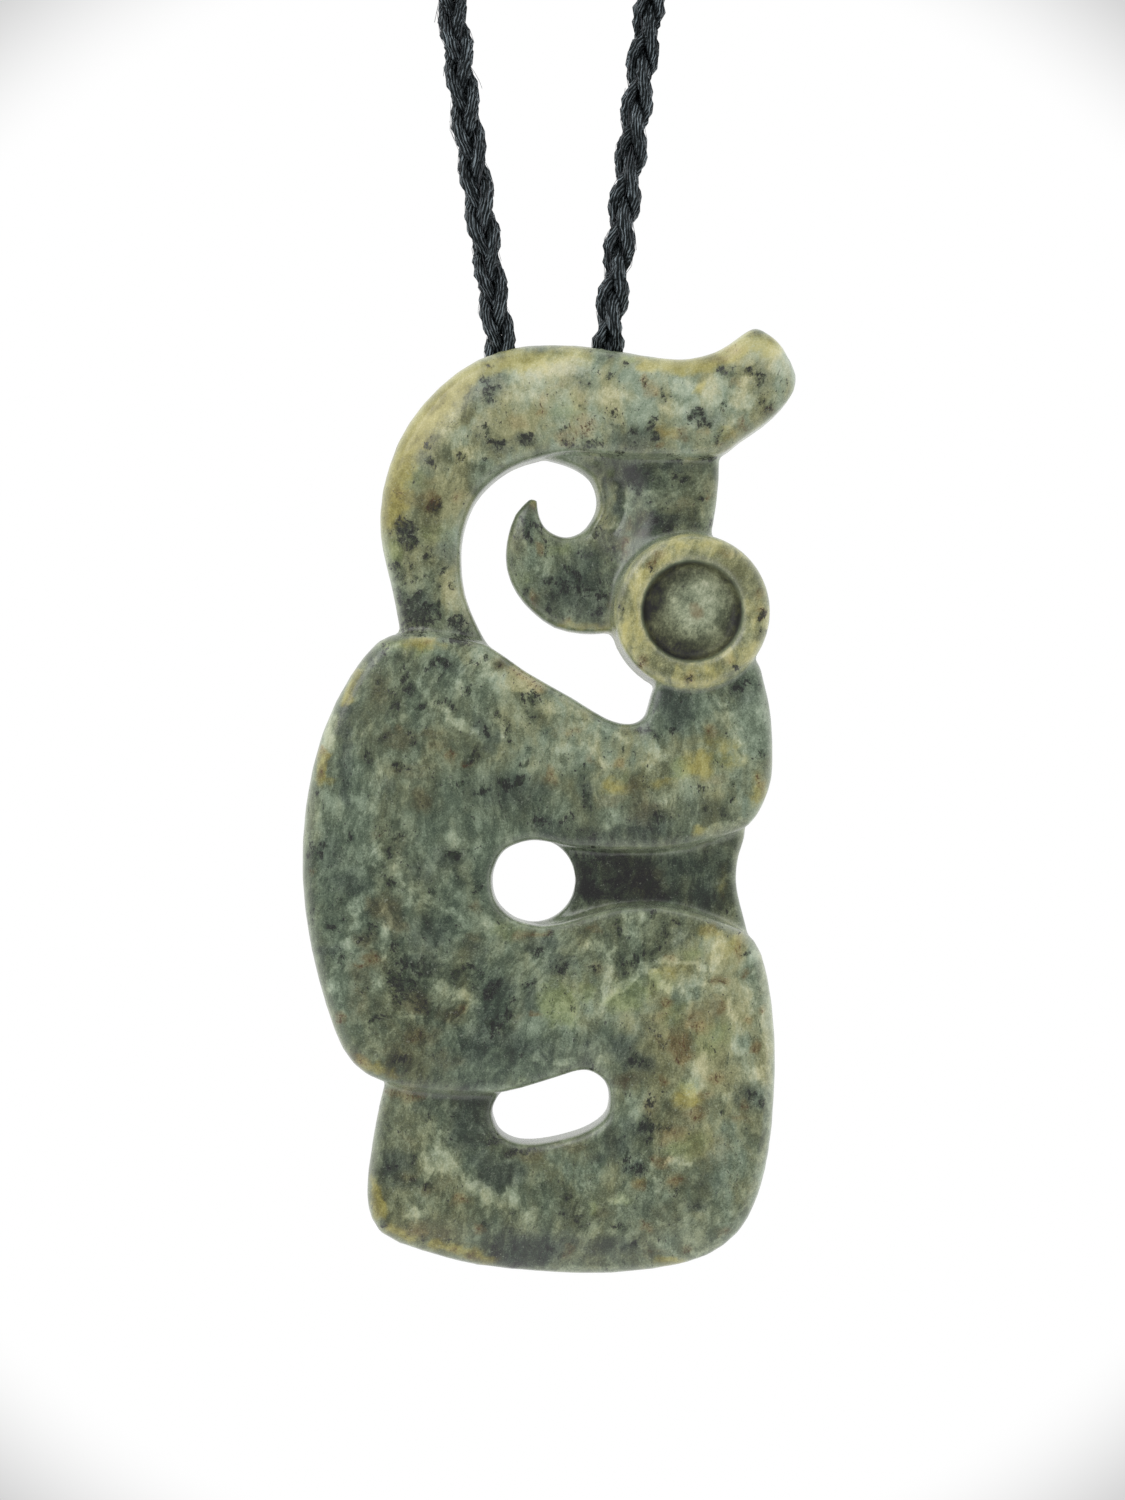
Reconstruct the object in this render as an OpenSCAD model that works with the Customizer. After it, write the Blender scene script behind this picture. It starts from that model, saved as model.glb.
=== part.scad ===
// Greenstone pendant carved as a manaia, a traditional Maori guardian figure, on a plaited neck cord.
// It hangs as worn: the origin is under the closing knot at the nape, +X is the viewer's right,
// -Y is the front and +Z is up. Millimetres.

/* [Stone] */
// Thickness of the stone at its fullest, the torso cushion
stone_thick = 6.6; // [6.4:0.1:7]
// Thickness of the crest and beak
crest_thick = 6.2; // [6:0.1:6.4]
// Thickness of the sunk jaw and cheek
jaw_thick = 4.5; // [4:0.1:5]
// Thickness of the deeply sunk bridge
bridge_thick = 3.2; // [2.6:0.1:3.8]
// How far the back edges are rounded over
back_round = 0.7; // [0.5:0.1:0.8]
// Rise of the cushioned fronts from their edges to their middle
crown = 0.5; // [0.3:0.1:0.7]

/* [Eye] */
// Radius of the raised eye ring
eye_r = 6.2; // [6:0.1:6.4]
// Radius of the round recess inside the ring
eye_recess_r = 3.95; // [3.8:0.05:4.2]
// Depth of the groove round the foot of the eye's dome
eye_groove = 1.8; // [1.4:0.1:2]

/* [Round hole] */
// Radius of the round hole beside the bridge
hole_r = 3.4; // [3.3:0.1:3.5]

/* [Cord] */
// Diameter of the plaited cord
cord_d = 2.6; // [2.2:0.1:2.8]
// Clear space between the cord and its holes
cord_gap = 0.35; // [0.3:0.05:0.4]

/* [Knot] */
// Length of the closing knot
knot_len = 9; // [8:0.5:11]
// Radius of the closing knot
knot_r = 2.6; // [2.4:0.1:2.9]

/* [Hidden] */

// The nape is this high above the foot of the stone
hang_drop = 396;
// The back of the stone is flat, and lies this far behind the cord's plane
back_y = 3.2;
// Each span between two ribs is drawn in this many steps
rib_steps = 2;
// A front edge rounds down by this share of how far it rounds in
edge_drop = 0.8;
// No edge of a rib rounds in further than this share of the rib's width
round_share = 0.45;
// The cushioned front rises by at most this share of a rib's width
crown_share = 0.06;
// Round holes and rings are drawn with this many sides
round_fn = 44;
// The eye's ring stands this much proud of the torso, and its boss widens this much to its foot
eye_rise = 0.2;
eye_flare = 0.2;
// The boss leans a little: its foot lies this far left of and below its ring
eye_lean = [0.15, 0.12];
// Roundings of the boss's foot, the ring's outer edge and the lip of its recess
foot_round = 0.9;
ring_round = 0.8;
lip_round = 0.5;
// The eye's dome, from near its groove to its middle: share of the recess's radius, and share of
// the groove's depth
eye_dome = [[0.9, 1], [0.75, 0.8], [0.5, 0.62], [0.25, 0.5], [0, 0.46]];
// Centres of the eye and of the round hole, in the stone's own frame
eye_at = [10.95, 52.75];
hole_at = [-1.7, 31.3];

// Each ribbon of the carving is a table of ribs that cross it, with edge A on the right of the way
// along it. The columns are edge A's x and z, edge B's x and z, the thickness as a share of the
// ribbon's own, and how far edges A and B are rounded over.
// Their frame has z = 0 at the stone's foot, and x = 0 midway between the two cord holes.

// Beak, crown and nape, from the tip of the beak round to the shoulder
crest_ribs = [
    [18.6, 73.3, 19.3, 71.6, 0.78, 0.6, 0.6],
    [17.8, 74.3, 19.1, 70.4, 0.92, 0.9, 0.8],
    [16.9, 75.0, 18.2, 69.1, 0.96, 1.1, 0.9],
    [15.9, 75.4, 16.8, 67.8, 0.98, 1.3, 0.9],
    [14.5, 74.5, 14.9, 66.5, 0.99, 1.4, 0.9],
    [12.9, 73.5, 13.1, 65.2, 1, 1.5, 0.9],
    [10.3, 72.9, 10.5, 65.1, 1, 1.5, 0.7],
    [7.3, 73.2, 7.9, 65.1, 1, 1.5, 0.7],
    [3.7, 73.8, 4.4, 65.3, 1, 1.5, 0.8],
    [-0.3, 74.1, 1.2, 65.5, 1, 1.5, 1.0],
    [-4.3, 73.6, -1.3, 65.0, 1, 1.5, 1.2],
    [-7.7, 71.9, -3.4, 64.3, 1, 1.5, 1.3],
    [-10.5, 69.3, -5.2, 63.0, 0.98, 1.6, 1.3],
    [-12.5, 66.2, -6.5, 61.4, 0.97, 1.6, 1.2],
    [-13.7, 62.5, -7.3, 59.2, 0.94, 1.6, 1.1],
    [-13.9, 58.8, -7.5, 57.0, 0.9, 1.5, 1.0],
    [-13.1, 55.2, -7.2, 54.2, 0.84, 1.4, 1.0],
    [-12.4, 51.6, -6.1, 51.5, 0.78, 1.3, 1.0],
    [-12.2, 48.8, -4.4, 48.4, 0.73, 1.2, 1.0]
];

// Hooked jaw and cheek, from the tip of the hook round under the beak
jaw_ribs = [
    [-1.9, 61.9, -1.4, 61.8, 0.8, 0.2, 0.2],
    [-3.1, 60.6, -1.3, 60.7, 0.9, 0.5, 0.4],
    [-3.8, 58.4, -0.9, 59.7, 0.95, 0.8, 0.7],
    [-3.8, 56.2, -0.2, 59.1, 0.98, 0.9, 0.8],
    [-3.0, 54.3, 0.6, 58.8, 1, 0.9, 0.9],
    [-1.7, 52.8, 1.2, 58.8, 1, 0.9, 1.0],
    [0.0, 51.6, 1.8, 59.0, 1, 0.9, 1.2],
    [2.2, 51.1, 2.4, 59.4, 1, 0.9, 1.6],
    [4.6, 51.2, 2.9, 60.1, 1, 0.9, 2.0],
    [10.5, 52.0, 3.3, 60.9, 1, 0.9, 2.2],
    [12.5, 57.5, 3.4, 61.8, 1, 0.9, 2.2],
    [12.6, 59.2, 3.2, 62.7, 1, 0.9, 2.2],
    [13.0, 61.6, 2.8, 63.5, 1, 0.9, 2.1],
    [13.2, 65.0, 1.9, 64.2, 1, 0.9, 1.8],
    [12.6, 67.2, 0.8, 64.7, 0.98, 0.9, 1.4],
    [4.0, 68.4, -0.7, 65.1, 0.96, 0.9, 1.0]
];

// Chest, shoulder and torso, from the chest leftwards and round the hole to the lower lobe
torso_ribs = [
    [17.4, 42.7, 17.4, 41.6, 0.72, 0.4, 0.4],
    [17.2, 44.8, 17.3, 39.5, 0.88, 0.9, 0.9],
    [16.7, 47.2, 16.6, 37.4, 0.94, 1.3, 1.0],
    [15.8, 49.2, 15.4, 35.7, 0.96, 1.3, 1.1],
    [12.8, 47.9, 13.2, 34.8, 0.97, 1.0, 1.0],
    [9.2, 48.2, 10.6, 34.1, 0.97, 1.0, 0.9],
    [7.8, 46.3, 8.1, 33.8, 0.97, 0.9, 0.9],
    [7.3, 44.5, 6.2, 33.8, 0.97, 0.9, 0.9],
    [6.1, 43.8, 4.6, 33.8, 0.98, 0.9, 0.9],
    [4.2, 44.2, 3.0, 33.9, 0.98, 0.9, 0.9],
    [1.4, 45.9, 1.4, 34.0, 0.99, 0.9, 0.8],
    [-2.3, 48.0, -0.2, 34.4, 0.99, 0.9, 0.7],
    [-5.5, 50.2, -1.7, 34.6, 1, 1.0, 0.7],
    [-8.3, 50.9, -3.0, 34.3, 1, 1.2, 0.7],
    [-11.6, 51.1, -4.0, 33.8, 1, 1.4, 0.7],
    [-14.0, 50.4, -4.5, 33.1, 1, 1.6, 0.7],
    [-16.3, 47.6, -4.8, 32.4, 1, 1.7, 0.7],
    [-18.5, 43.1, -5.0, 31.7, 1, 1.7, 0.7],
    [-19.8, 37.5, -5.0, 31.1, 1, 1.7, 0.7],
    [-20.1, 31.6, -4.9, 30.4, 1, 1.7, 0.7],
    [-19.4, 26.0, -4.6, 29.6, 1, 1.7, 0.7],
    [-18.1, 21.1, -4.0, 28.9, 1, 1.7, 0.7],
    [-16.8, 17.9, -3.2, 28.3, 1, 1.6, 0.7],
    [-14.9, 15.9, -2.3, 28.0, 1, 1.5, 0.7],
    [-11.4, 14.7, -1.2, 27.8, 1, 1.3, 0.7],
    [-7.6, 14.4, 0.2, 27.9, 1, 1.1, 0.8],
    [-4.2, 14.5, 2.0, 28.4, 1, 1.0, 0.9],
    [-1.2, 15.3, 5.0, 29.2, 1, 0.9, 0.9],
    [1.6, 16.2, 8.2, 29.4, 0.99, 0.8, 0.9]
];

// Lower lobe, tail and foot, round the slot from where the torso ends
tail_ribs = [
    [1.6, 16.2, 8.2, 29.4, 0.99, 0.8, 0.9],
    [2.6, 16.3, 11.3, 28.8, 0.97, 0.8, 1.0],
    [3.5, 15.9, 14.0, 27.8, 0.97, 0.8, 1.3],
    [4.1, 15.3, 15.9, 26.6, 0.97, 0.8, 1.6],
    [4.4, 14.5, 17.0, 23.8, 0.97, 0.8, 1.7],
    [4.4, 13.6, 17.6, 18.8, 0.97, 0.8, 1.7],
    [4.2, 12.7, 17.5, 13.4, 0.97, 0.8, 1.7],
    [3.4, 11.9, 16.9, 8.6, 0.97, 0.8, 1.7],
    [2.3, 11.3, 15.6, 4.7, 0.97, 0.8, 1.7],
    [1.1, 10.9, 13.6, 2.3, 0.97, 0.8, 1.7],
    [-0.1, 10.6, 10.4, 0.8, 0.95, 0.8, 1.7],
    [-1.4, 10.4, 4.6, 0.0, 0.94, 0.8, 1.7],
    [-2.7, 10.4, -0.9, 0.1, 0.92, 0.8, 1.7],
    [-3.7, 10.7, -6.0, 0.6, 0.9, 0.8, 1.7],
    [-4.5, 11.3, -10.5, 1.7, 0.87, 0.8, 1.7],
    [-4.8, 12.0, -13.9, 3.2, 0.84, 0.8, 1.6],
    [-5.0, 12.7, -15.0, 5.9, 0.81, 0.8, 1.5],
    [-4.8, 13.6, -14.7, 9.3, 0.79, 0.8, 1.4],
    [-4.3, 14.4, -14.2, 12.3, 0.77, 0.8, 1.3],
    [-3.9, 15.3, -13.6, 14.9, 0.76, 0.8, 1.2],
    [-4.2, 17.0, -12.7, 17.2, 0.74, 0.8, 1.0]
];

// Sunk bridge between the lobes, from the upper lobe down into the lower
bridge_ribs = [
    [-1.7, 36.4, 15.3, 36.4, 1, 0.8, 0.8],
    [-1.7, 34.6, 15.3, 34.8, 1, 0.8, 0.8],
    [-1.7, 33.0, 14.8, 33.2, 1, 0.8, 0.8],
    [-1.7, 31.3, 14.6, 31.3, 1, 0.8, 0.8],
    [-1.7, 29.8, 14.9, 29.5, 1, 0.8, 0.8],
    [-1.7, 28.6, 15.4, 27.6, 1, 0.8, 0.8],
    [-1.7, 26.6, 15.7, 25.8, 1, 0.8, 0.8]
];

// The cord's centreline, from the knot's left face down through the stone and back to its right
cord_route = [
    [-knot_len / 2, 0, knot_r], [-10, 0, 1.8], [-20, 0, -2.6], [-28, 0, -9], [-34.4, 0, -17.4],
    [-38.2, 0, -27], [-39.6, 0, -38], [-38, 0, -54], [-32, 0, -102], [-26, 0, -150],
    [-20.1, 0, -198], [-14.2, 0, -246], [-8.3, 0, -294], [-5.5, 0, -314], [-4.5, 0, -320.6],
    [-4.3, 0.4, -322.8], [-4.1, 1.4, -324.8], [-3.5, 2.5, -326.7], [-2, 3.3, -328],
    [0, 3.5, -328.5],
    [2, 3.3, -328], [3.5, 2.5, -326.7], [4.1, 1.4, -324.8], [4.3, 0.4, -322.8],
    [4.4, 0, -320.6], [5.2, 0, -314], [7.7, 0, -294], [13.8, 0, -246], [19.9, 0, -198],
    [26, 0, -150], [32, 0, -102], [38, 0, -54], [39.6, 0, -38], [38.2, 0, -27],
    [34.4, 0, -17.4], [28, 0, -9], [20, 0, -2.6], [10, 0, 1.8], [knot_len / 2, 0, knot_r]
];
// The cord's rings stand about this far apart on its long spans
ring_gap = 11;
// Sides of the cord's tube
cord_sides = 8;
// The points of the route that lie lower than this are in the stone's cord holes
holes_below = -313;

// A smooth curve through a table's rows, between rows p1 and p2 at share t
function between(p0, p1, p2, p3, t) =
    p1 + t / 2 * (p2 - p0)
    + t * t / 2 * (2 * p0 - 5 * p1 + 4 * p2 - p3)
    + t * t * t / 2 * (3 * p1 - 3 * p2 + p3 - p0);

// A table's row, or past its ends the end row carried on in a straight line
function row_at(rows, i) =
    i < 0 ? 2 * rows[0] - rows[1]
    : i >= len(rows) ? 2 * rows[len(rows) - 1] - rows[len(rows) - 2]
    : rows[i];

// The start of span i of a table, and the points that split it into steps
function span(rows, i, steps) = [
    for (k = [0 : steps - 1])
        between(row_at(rows, i - 1), rows[i], rows[i + 1], row_at(rows, i + 2), k / steps)
];

// A rib's closed section, from the back over the front and back again: [way along the rib, depth]
function rib_section(width, thick, round_a, round_b) =
    let (
        a = min(round_a, round_share * width),
        b = min(round_b, round_share * width),
        base = min(back_round, round_share * width),
        front = back_y - thick,
        sag = min(crown, crown_share * width)
    )
    concat(
        [for (q = [0 : 45 : 90]) [base * (1 - sin(q)), back_y - base * (1 - cos(q))]],
        [for (q = [0 : 30 : 90])
            [a * (1 - cos(q)), front + sag + edge_drop * a * (1 - sin(q))]],
        [for (s = [0.2, 0.5, 0.8])
            [a + s * (width - a - b), front + sag * pow(2 * s - 1, 2)]],
        [for (q = [90 : -30 : 0])
            [width - b * (1 - cos(q)), front + sag + edge_drop * b * (1 - sin(q))]],
        [for (q = [90 : -45 : 0])
            [width - base * (1 - sin(q)), back_y - base * (1 - cos(q))]]
    );

// A rib's section set across the stone, from edge A to edge B
function rib_ring(row, thick) =
    let (
        a = [row[0], row[1]],
        b = [row[2], row[3]],
        width = norm(b - a),
        way = (b - a) / width
    )
    [for (p = rib_section(width, thick * row[4], row[5], row[6]))
        [a[0] + way[0] * p[0], p[1], a[1] + way[1] * p[0]]];

// A solid through closed rings of points, with flat ends
module loft(rings) {
    n = len(rings[0]);
    last = len(rings) - 1;
    sides = [
        for (k = [0 : last - 1], i = [0 : n - 1])
            let (j = (i + 1) % n, p = k * n, q = p + n)
            each [[p + i, q + j, q + i], [p + i, p + j, q + j]]
    ];
    ends = [[for (i = [n - 1 : -1 : 0]) i], [for (i = [0 : n - 1]) last * n + i]];
    polyhedron(points = [for (ring = rings) each ring], faces = concat(sides, ends));
}

// A ribbon of stone through a table of ribs
module ribbon(ribs, thick) {
    last = len(ribs) - 1;
    rows = [for (i = [0 : last - 1]) each span(ribs, i, rib_steps), ribs[last]];
    loft([for (row = rows) rib_ring(row, thick)]);
}

// Round boss with a raised ring and a domed eye sunk inside it
module eye_boss() {
    top = stone_thick + eye_rise;
    foot_r = eye_r + eye_flare;
    leaning = [
        [1, -eye_lean[0] / top, 0, 0],
        [0, 1, 0, 0],
        [0, -eye_lean[1] / top, 1, 0],
        [0, 0, 0, 1]
    ];
    translate([eye_at[0], back_y - top, eye_at[1]]) multmatrix(leaning)
        translate([0, top, 0]) rotate([90, 0, 0]) rotate_extrude($fn = round_fn)
            polygon(concat(
                [[0, 0], [foot_r - foot_round, 0], [foot_r, foot_round]],
                [for (q = [0 : 30 : 90])
                    [eye_r - ring_round * (1 - cos(q)), top - ring_round * (1 - sin(q))]],
                [for (q = [90 : -45 : 0])
                    [eye_recess_r + lip_round * (1 - cos(q)), top - lip_round * (1 - sin(q))]],
                [for (d = eye_dome) [d[0] * eye_recess_r, top - d[1] * eye_groove]]
            ));
}

// Sunk bridge, with its end cut to the round hole
module bridge() {
    difference() {
        ribbon(bridge_ribs, bridge_thick);
        translate([hole_at[0], 0, hole_at[1]]) rotate([90, 0, 0])
            cylinder(r = hole_r, h = 2 * stone_thick, center = true, $fn = round_fn);
    }
}

// Holes sloping from the stone's top edge to its back, joined by a groove that beds the cord
module cord_passage() {
    route = [for (p = cord_route) if (p[2] < holes_below) p + [0, 0, hang_drop]];
    for (i = [0 : len(route) - 2]) hull() {
        translate(route[i]) sphere(r = cord_d / 2 + cord_gap, $fn = 20);
        translate(route[i + 1]) sphere(r = cord_d / 2 + cord_gap, $fn = 20);
    }
}

// The carved figure, one piece of greenstone
module carved_stone() {
    color("#7d8a72") translate([0, 0, -hang_drop]) difference() {
        union() {
            ribbon(crest_ribs, crest_thick);
            ribbon(jaw_ribs, jaw_thick);
            eye_boss();
            ribbon(torso_ribs, stone_thick);
            ribbon(tail_ribs, stone_thick);
            bridge();
        }
        cord_passage();
    }
}

// The cord's centreline, with more points on its long spans
function cord_line() = [
    for (i = [0 : len(cord_route) - 2])
        each span(cord_route, i,
            max(1, round(norm(cord_route[i + 1] - cord_route[i]) / ring_gap))),
    cord_route[len(cord_route) - 1]
];

// Plaited neck cord as a plain tube, swept along its route with rings square to it
module neck_cord() {
    line = cord_line();
    last = len(line) - 1;
    rings = [
        for (k = [0 : last])
            let (
                way = line[min(k + 1, last)] - line[max(k - 1, 0)],
                along = (k == 0 || k == last) ? [-1, 0, 0] : way / norm(way),
                side = cross(along, [0, 1, 0]) / norm(cross(along, [0, 1, 0])),
                up = cross(side, along)
            )
            [for (q = [0 : cord_sides - 1])
                line[k] + cord_d / 2 * (cos(q * 360 / cord_sides) * side
                    + sin(q * 360 / cord_sides) * up)]
    ];
    color("#23262a") loft(rings);
}

// Closing knot at the nape, a barrel whose flat ends meet the cord's two ends
module closing_knot() {
    half = knot_len / 2;
    color("#1d2023") translate([0, 0, knot_r]) rotate([0, 90, 0])
        rotate_extrude($fn = round_fn)
            polygon([
                [0, -half], [0.6 * knot_r, -half], [0.9 * knot_r, -0.8 * half],
                [knot_r, -0.5 * half], [knot_r, 0.5 * half],
                [0.9 * knot_r, 0.8 * half], [0.6 * knot_r, half], [0, half]
            ]);
}

carved_stone();
neck_cord();
closing_knot();
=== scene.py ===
# %% [markdown]
# A greenstone manaia hangs on a black plaited cord. The figure is Maori work from New Zealand: a guardian
# seen from the side, with a hooked beak, a ringed eye and a body that curls round on itself. The solids
# come first. They are the frame that everything here is fitted to, so nothing is moved later.

# %% The frame
import math
import random

import bpy
import numpy as np
from mathutils import Matrix, Vector, noise


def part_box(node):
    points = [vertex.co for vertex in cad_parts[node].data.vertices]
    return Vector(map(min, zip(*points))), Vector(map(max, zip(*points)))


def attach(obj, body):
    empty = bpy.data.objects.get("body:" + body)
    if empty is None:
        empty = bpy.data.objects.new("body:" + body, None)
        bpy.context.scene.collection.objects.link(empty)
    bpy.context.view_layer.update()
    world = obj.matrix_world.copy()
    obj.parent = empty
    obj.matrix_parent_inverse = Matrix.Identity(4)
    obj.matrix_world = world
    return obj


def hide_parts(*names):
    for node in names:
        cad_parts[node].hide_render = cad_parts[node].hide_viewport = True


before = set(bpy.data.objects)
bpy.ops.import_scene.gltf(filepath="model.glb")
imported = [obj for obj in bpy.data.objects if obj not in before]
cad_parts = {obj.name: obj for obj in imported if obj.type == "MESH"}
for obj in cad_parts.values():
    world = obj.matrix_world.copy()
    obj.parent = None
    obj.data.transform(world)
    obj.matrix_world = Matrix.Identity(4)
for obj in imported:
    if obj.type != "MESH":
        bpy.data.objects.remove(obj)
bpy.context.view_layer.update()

MM = 0.001
print("solids:", sorted(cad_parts))

# %% [markdown]
# Carvers and makers think in millimetres from the foot of the stone. So the stone has its own frame: x is
# 0 midway between the two cord holes and z is 0 at the foot. Everything below is in millimetres in that
# frame or in the part's own one, and only the meshes are made in metres.

# %% Places in the stone's own frame
stone_low, stone_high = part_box("carved_stone")
HANG_DROP = 396.0


def in_stone(x, y, z):
    """A point in the stone's frame, in millimetres, as a place in the part's frame, in metres."""
    return Vector((x, y, z - HANG_DROP)) * MM


print("the stone is %.1f mm wide and %.1f mm high" % (
    (stone_high[0] - stone_low[0]) / MM, (stone_high[2] - stone_low[2]) / MM))

# %% [markdown]
# The camera comes before any modelling, because it decides how far the cord is seen. The photograph looks
# straight at the front. It is taken to be made from 30 cm with a long lens: close enough for the walls of
# the openings to show a little. The whole picture is 120 mm high at the depth of the stone's outline.

# %% Camera
PICTURE_HIGH = 120.0
CAMERA_AWAY = 300.0
SENSOR_HIGH = 36.0
PICTURE_MIDDLE = (0.66, -0.4, 41.75)
SEES_FROM, SEES_TO = 0.01, 20
picture_middle = in_stone(*PICTURE_MIDDLE)

camera_data = bpy.data.cameras.new("photo_camera")
camera_data.sensor_fit = "VERTICAL"
camera_data.sensor_height = SENSOR_HIGH
camera_data.lens = SENSOR_HIGH * CAMERA_AWAY / PICTURE_HIGH
camera_data.clip_start = SEES_FROM
camera_data.clip_end = SEES_TO
camera = bpy.data.objects.new("photo_camera", camera_data)
camera.location = picture_middle - Vector((0, CAMERA_AWAY * MM, 0))
camera.rotation_euler = (math.radians(90), 0, 0)
bpy.context.scene.collection.objects.link(camera)
bpy.context.scene.camera = camera
print("lens %.0f mm, camera at %s" % (camera_data.lens, tuple(round(c, 3) for c in camera.location)))

# %% [markdown]
# Materials are drawn as node trees, and a tree is easier to read as sums. Wire holds one output of a
# node. Adding or multiplying wires adds the Math nodes, and add() makes any other node: its settings go
# first, because they can change which sockets it has, and then the values or wires of its sockets.

# %% Shader maths
class Wire:
    """One output of a node, which can be reckoned with like a number."""

    def __init__(self, tree, socket):
        self.tree = tree
        self.socket = socket

    def add(self, kind, settings=None, inputs=None, output=0):
        """A new node with these settings and inputs, as a Wire from one of its outputs."""
        node = self.tree.nodes.new("ShaderNode" + kind)
        for name, value in (settings or {}).items():
            if name == "stops":
                set_stops(node.color_ramp, value)
            else:
                setattr(node, name, value)
        for name, value in (inputs or {}).items():
            if isinstance(value, Wire):
                self.tree.links.new(value.socket, node.inputs[name])
            else:
                node.inputs[name].default_value = value
        return Wire(self.tree, node.outputs[output])

    def maths(self, operation, first, second=0.0):
        return self.add("Math", {"operation": operation}, {0: first, 1: second})

    def __add__(self, other):
        return self.maths("ADD", self, other)

    def __radd__(self, other):
        return self.maths("ADD", other, self)

    def __sub__(self, other):
        return self.maths("SUBTRACT", self, other)

    def __rsub__(self, other):
        return self.maths("SUBTRACT", other, self)

    def __mul__(self, other):
        return self.maths("MULTIPLY", self, other)

    def __rmul__(self, other):
        return self.maths("MULTIPLY", other, self)

    def __truediv__(self, other):
        return self.maths("DIVIDE", self, other)

    def step(self, low, high):
        """0 below low, 1 above high, and a soft step between them. With low above high it falls."""
        return self.add(
            "MapRange", {"interpolation_type": "SMOOTHSTEP"}, {0: self, 1: low, 2: high, 3: 0.0, 4: 1.0})

    def noise(self, scale, detail=3.0, rough=0.5, output=0):
        """Noise at this place. Output 0 is a number and output 1 a colour."""
        return self.add("TexNoise", {}, {
            "Vector": self, "Scale": scale, "Detail": detail, "Roughness": rough}, output)

    def stretched(self, along=(1, 1, 1), turn=(0, 0, 0), shift=(0, 0, 0)):
        """This place scaled, turned by degrees and shifted, so that a pattern on it is too."""
        return self.add("Mapping", {}, {
            "Vector": self, "Scale": along, "Location": shift,
            "Rotation": [math.radians(angle) for angle in turn]})

    def shifted(self, other):
        return self.add("VectorMath", {"operation": "ADD"}, {0: self, 1: other})

    def spread(self, factor):
        return self.add("VectorMath", {"operation": "SCALE"}, {0: self, "Scale": factor})

    def tint(self, colour, amount):
        """This colour with another mixed over it by amount."""
        return self.add("Mix", {"data_type": "RGBA"}, {0: amount, 6: self, 7: colour}, output=2)


print("a wire can be reckoned with, and can:", [name for name in vars(Wire) if name[0] != "_"])

# %% [markdown]
# Three small helpers go with it. A colour ramp gets its stops, each a place and a colour. A new material
# comes with its Principled shader. And feed() fills a socket of that shader: what changes over a surface
# comes as a wire, and what is the same all over is set on the socket itself, because the export needs it
# there.

# %% Ramps and materials
def set_stops(ramp, stops):
    """Gives a colour ramp these stops."""
    while len(ramp.elements) < len(stops):
        ramp.elements.new(0.5)
    for element, (place, colour) in zip(ramp.elements, stops):
        element.position = place
        element.color = (*colour, 1)


def new_material(name):
    """A new material: its Principled shader, and a Wire to start drawing from."""
    material = bpy.data.materials.new(name)
    material.use_nodes = True
    tree = material.node_tree
    shader = tree.nodes["Principled BSDF"]
    return material, shader, Wire(tree, shader.outputs[0])


def feed(shader, name, value):
    """Puts a wire or a plain value on one of the shader's sockets."""
    if isinstance(value, Wire):
        value.tree.links.new(value.socket, shader.inputs[name])
    else:
        shader.inputs[name].default_value = value


print("materials so far:", len(bpy.data.materials))

# %% [markdown]
# Every operator acts on what is selected, and loading the solids leaves them selected. So each step
# starts by choosing its own piece. A modifier is added, set and applied in one go, because the finished
# mesh is wanted.

# %% Choosing a piece
def choose(piece):
    """Selects this piece and nothing else."""
    bpy.ops.object.select_all(action="DESELECT")
    piece.select_set(True)
    bpy.context.view_layer.objects.active = piece


def new_piece(name, data):
    """A new object in the scene that shows this mesh."""
    piece = bpy.data.objects.new(name, data)
    bpy.context.scene.collection.objects.link(piece)
    return piece


def apply_modifier(piece, kind, **settings):
    """Adds a modifier with these settings and applies it to the mesh."""
    modifier = piece.modifiers.new(kind.lower(), kind)
    for name, value in settings.items():
        setattr(modifier, name, value)
    choose(piece)
    bpy.ops.object.modifier_apply(modifier=modifier.name)


# %% [markdown]
# The cord is one loop of plait. It lies over the nape, where a knot closes it, comes down in two straight
# legs, goes into the two holes in the stone's top edge and turns round in a groove at the back. These are
# the same points as in the solid model, in millimetres, and a smooth curve goes through them.

# %% The cord's line
KNOT_LONG = 9.0
KNOT_ROUND = 2.6
CORD_ROUTE = [
    (-KNOT_LONG / 2, 0, KNOT_ROUND), (-10, 0, 1.8), (-20, 0, -2.6), (-28, 0, -9), (-34.4, 0, -17.4),
    (-38.2, 0, -27), (-39.6, 0, -38), (-38, 0, -54), (-32, 0, -102), (-26, 0, -150),
    (-20.1, 0, -198), (-14.2, 0, -246), (-8.3, 0, -294), (-5.5, 0, -314), (-4.5, 0, -320.6),
    (-4.3, 0.4, -322.8), (-4.1, 1.4, -324.8), (-3.5, 2.5, -326.7), (-2, 3.3, -328),
    (0, 3.5, -328.5),
    (2, 3.3, -328), (3.5, 2.5, -326.7), (4.1, 1.4, -324.8), (4.3, 0.4, -322.8),
    (4.4, 0, -320.6), (5.2, 0, -314), (7.7, 0, -294), (13.8, 0, -246), (19.9, 0, -198),
    (26, 0, -150), (32, 0, -102), (38, 0, -54), (39.6, 0, -38), (38.2, 0, -27),
    (34.4, 0, -17.4), (28, 0, -9), (20, 0, -2.6), (10, 0, 1.8), (KNOT_LONG / 2, 0, KNOT_ROUND),
]
CORD_ROUND = 2.6
CORD_STEP = 0.6


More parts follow.
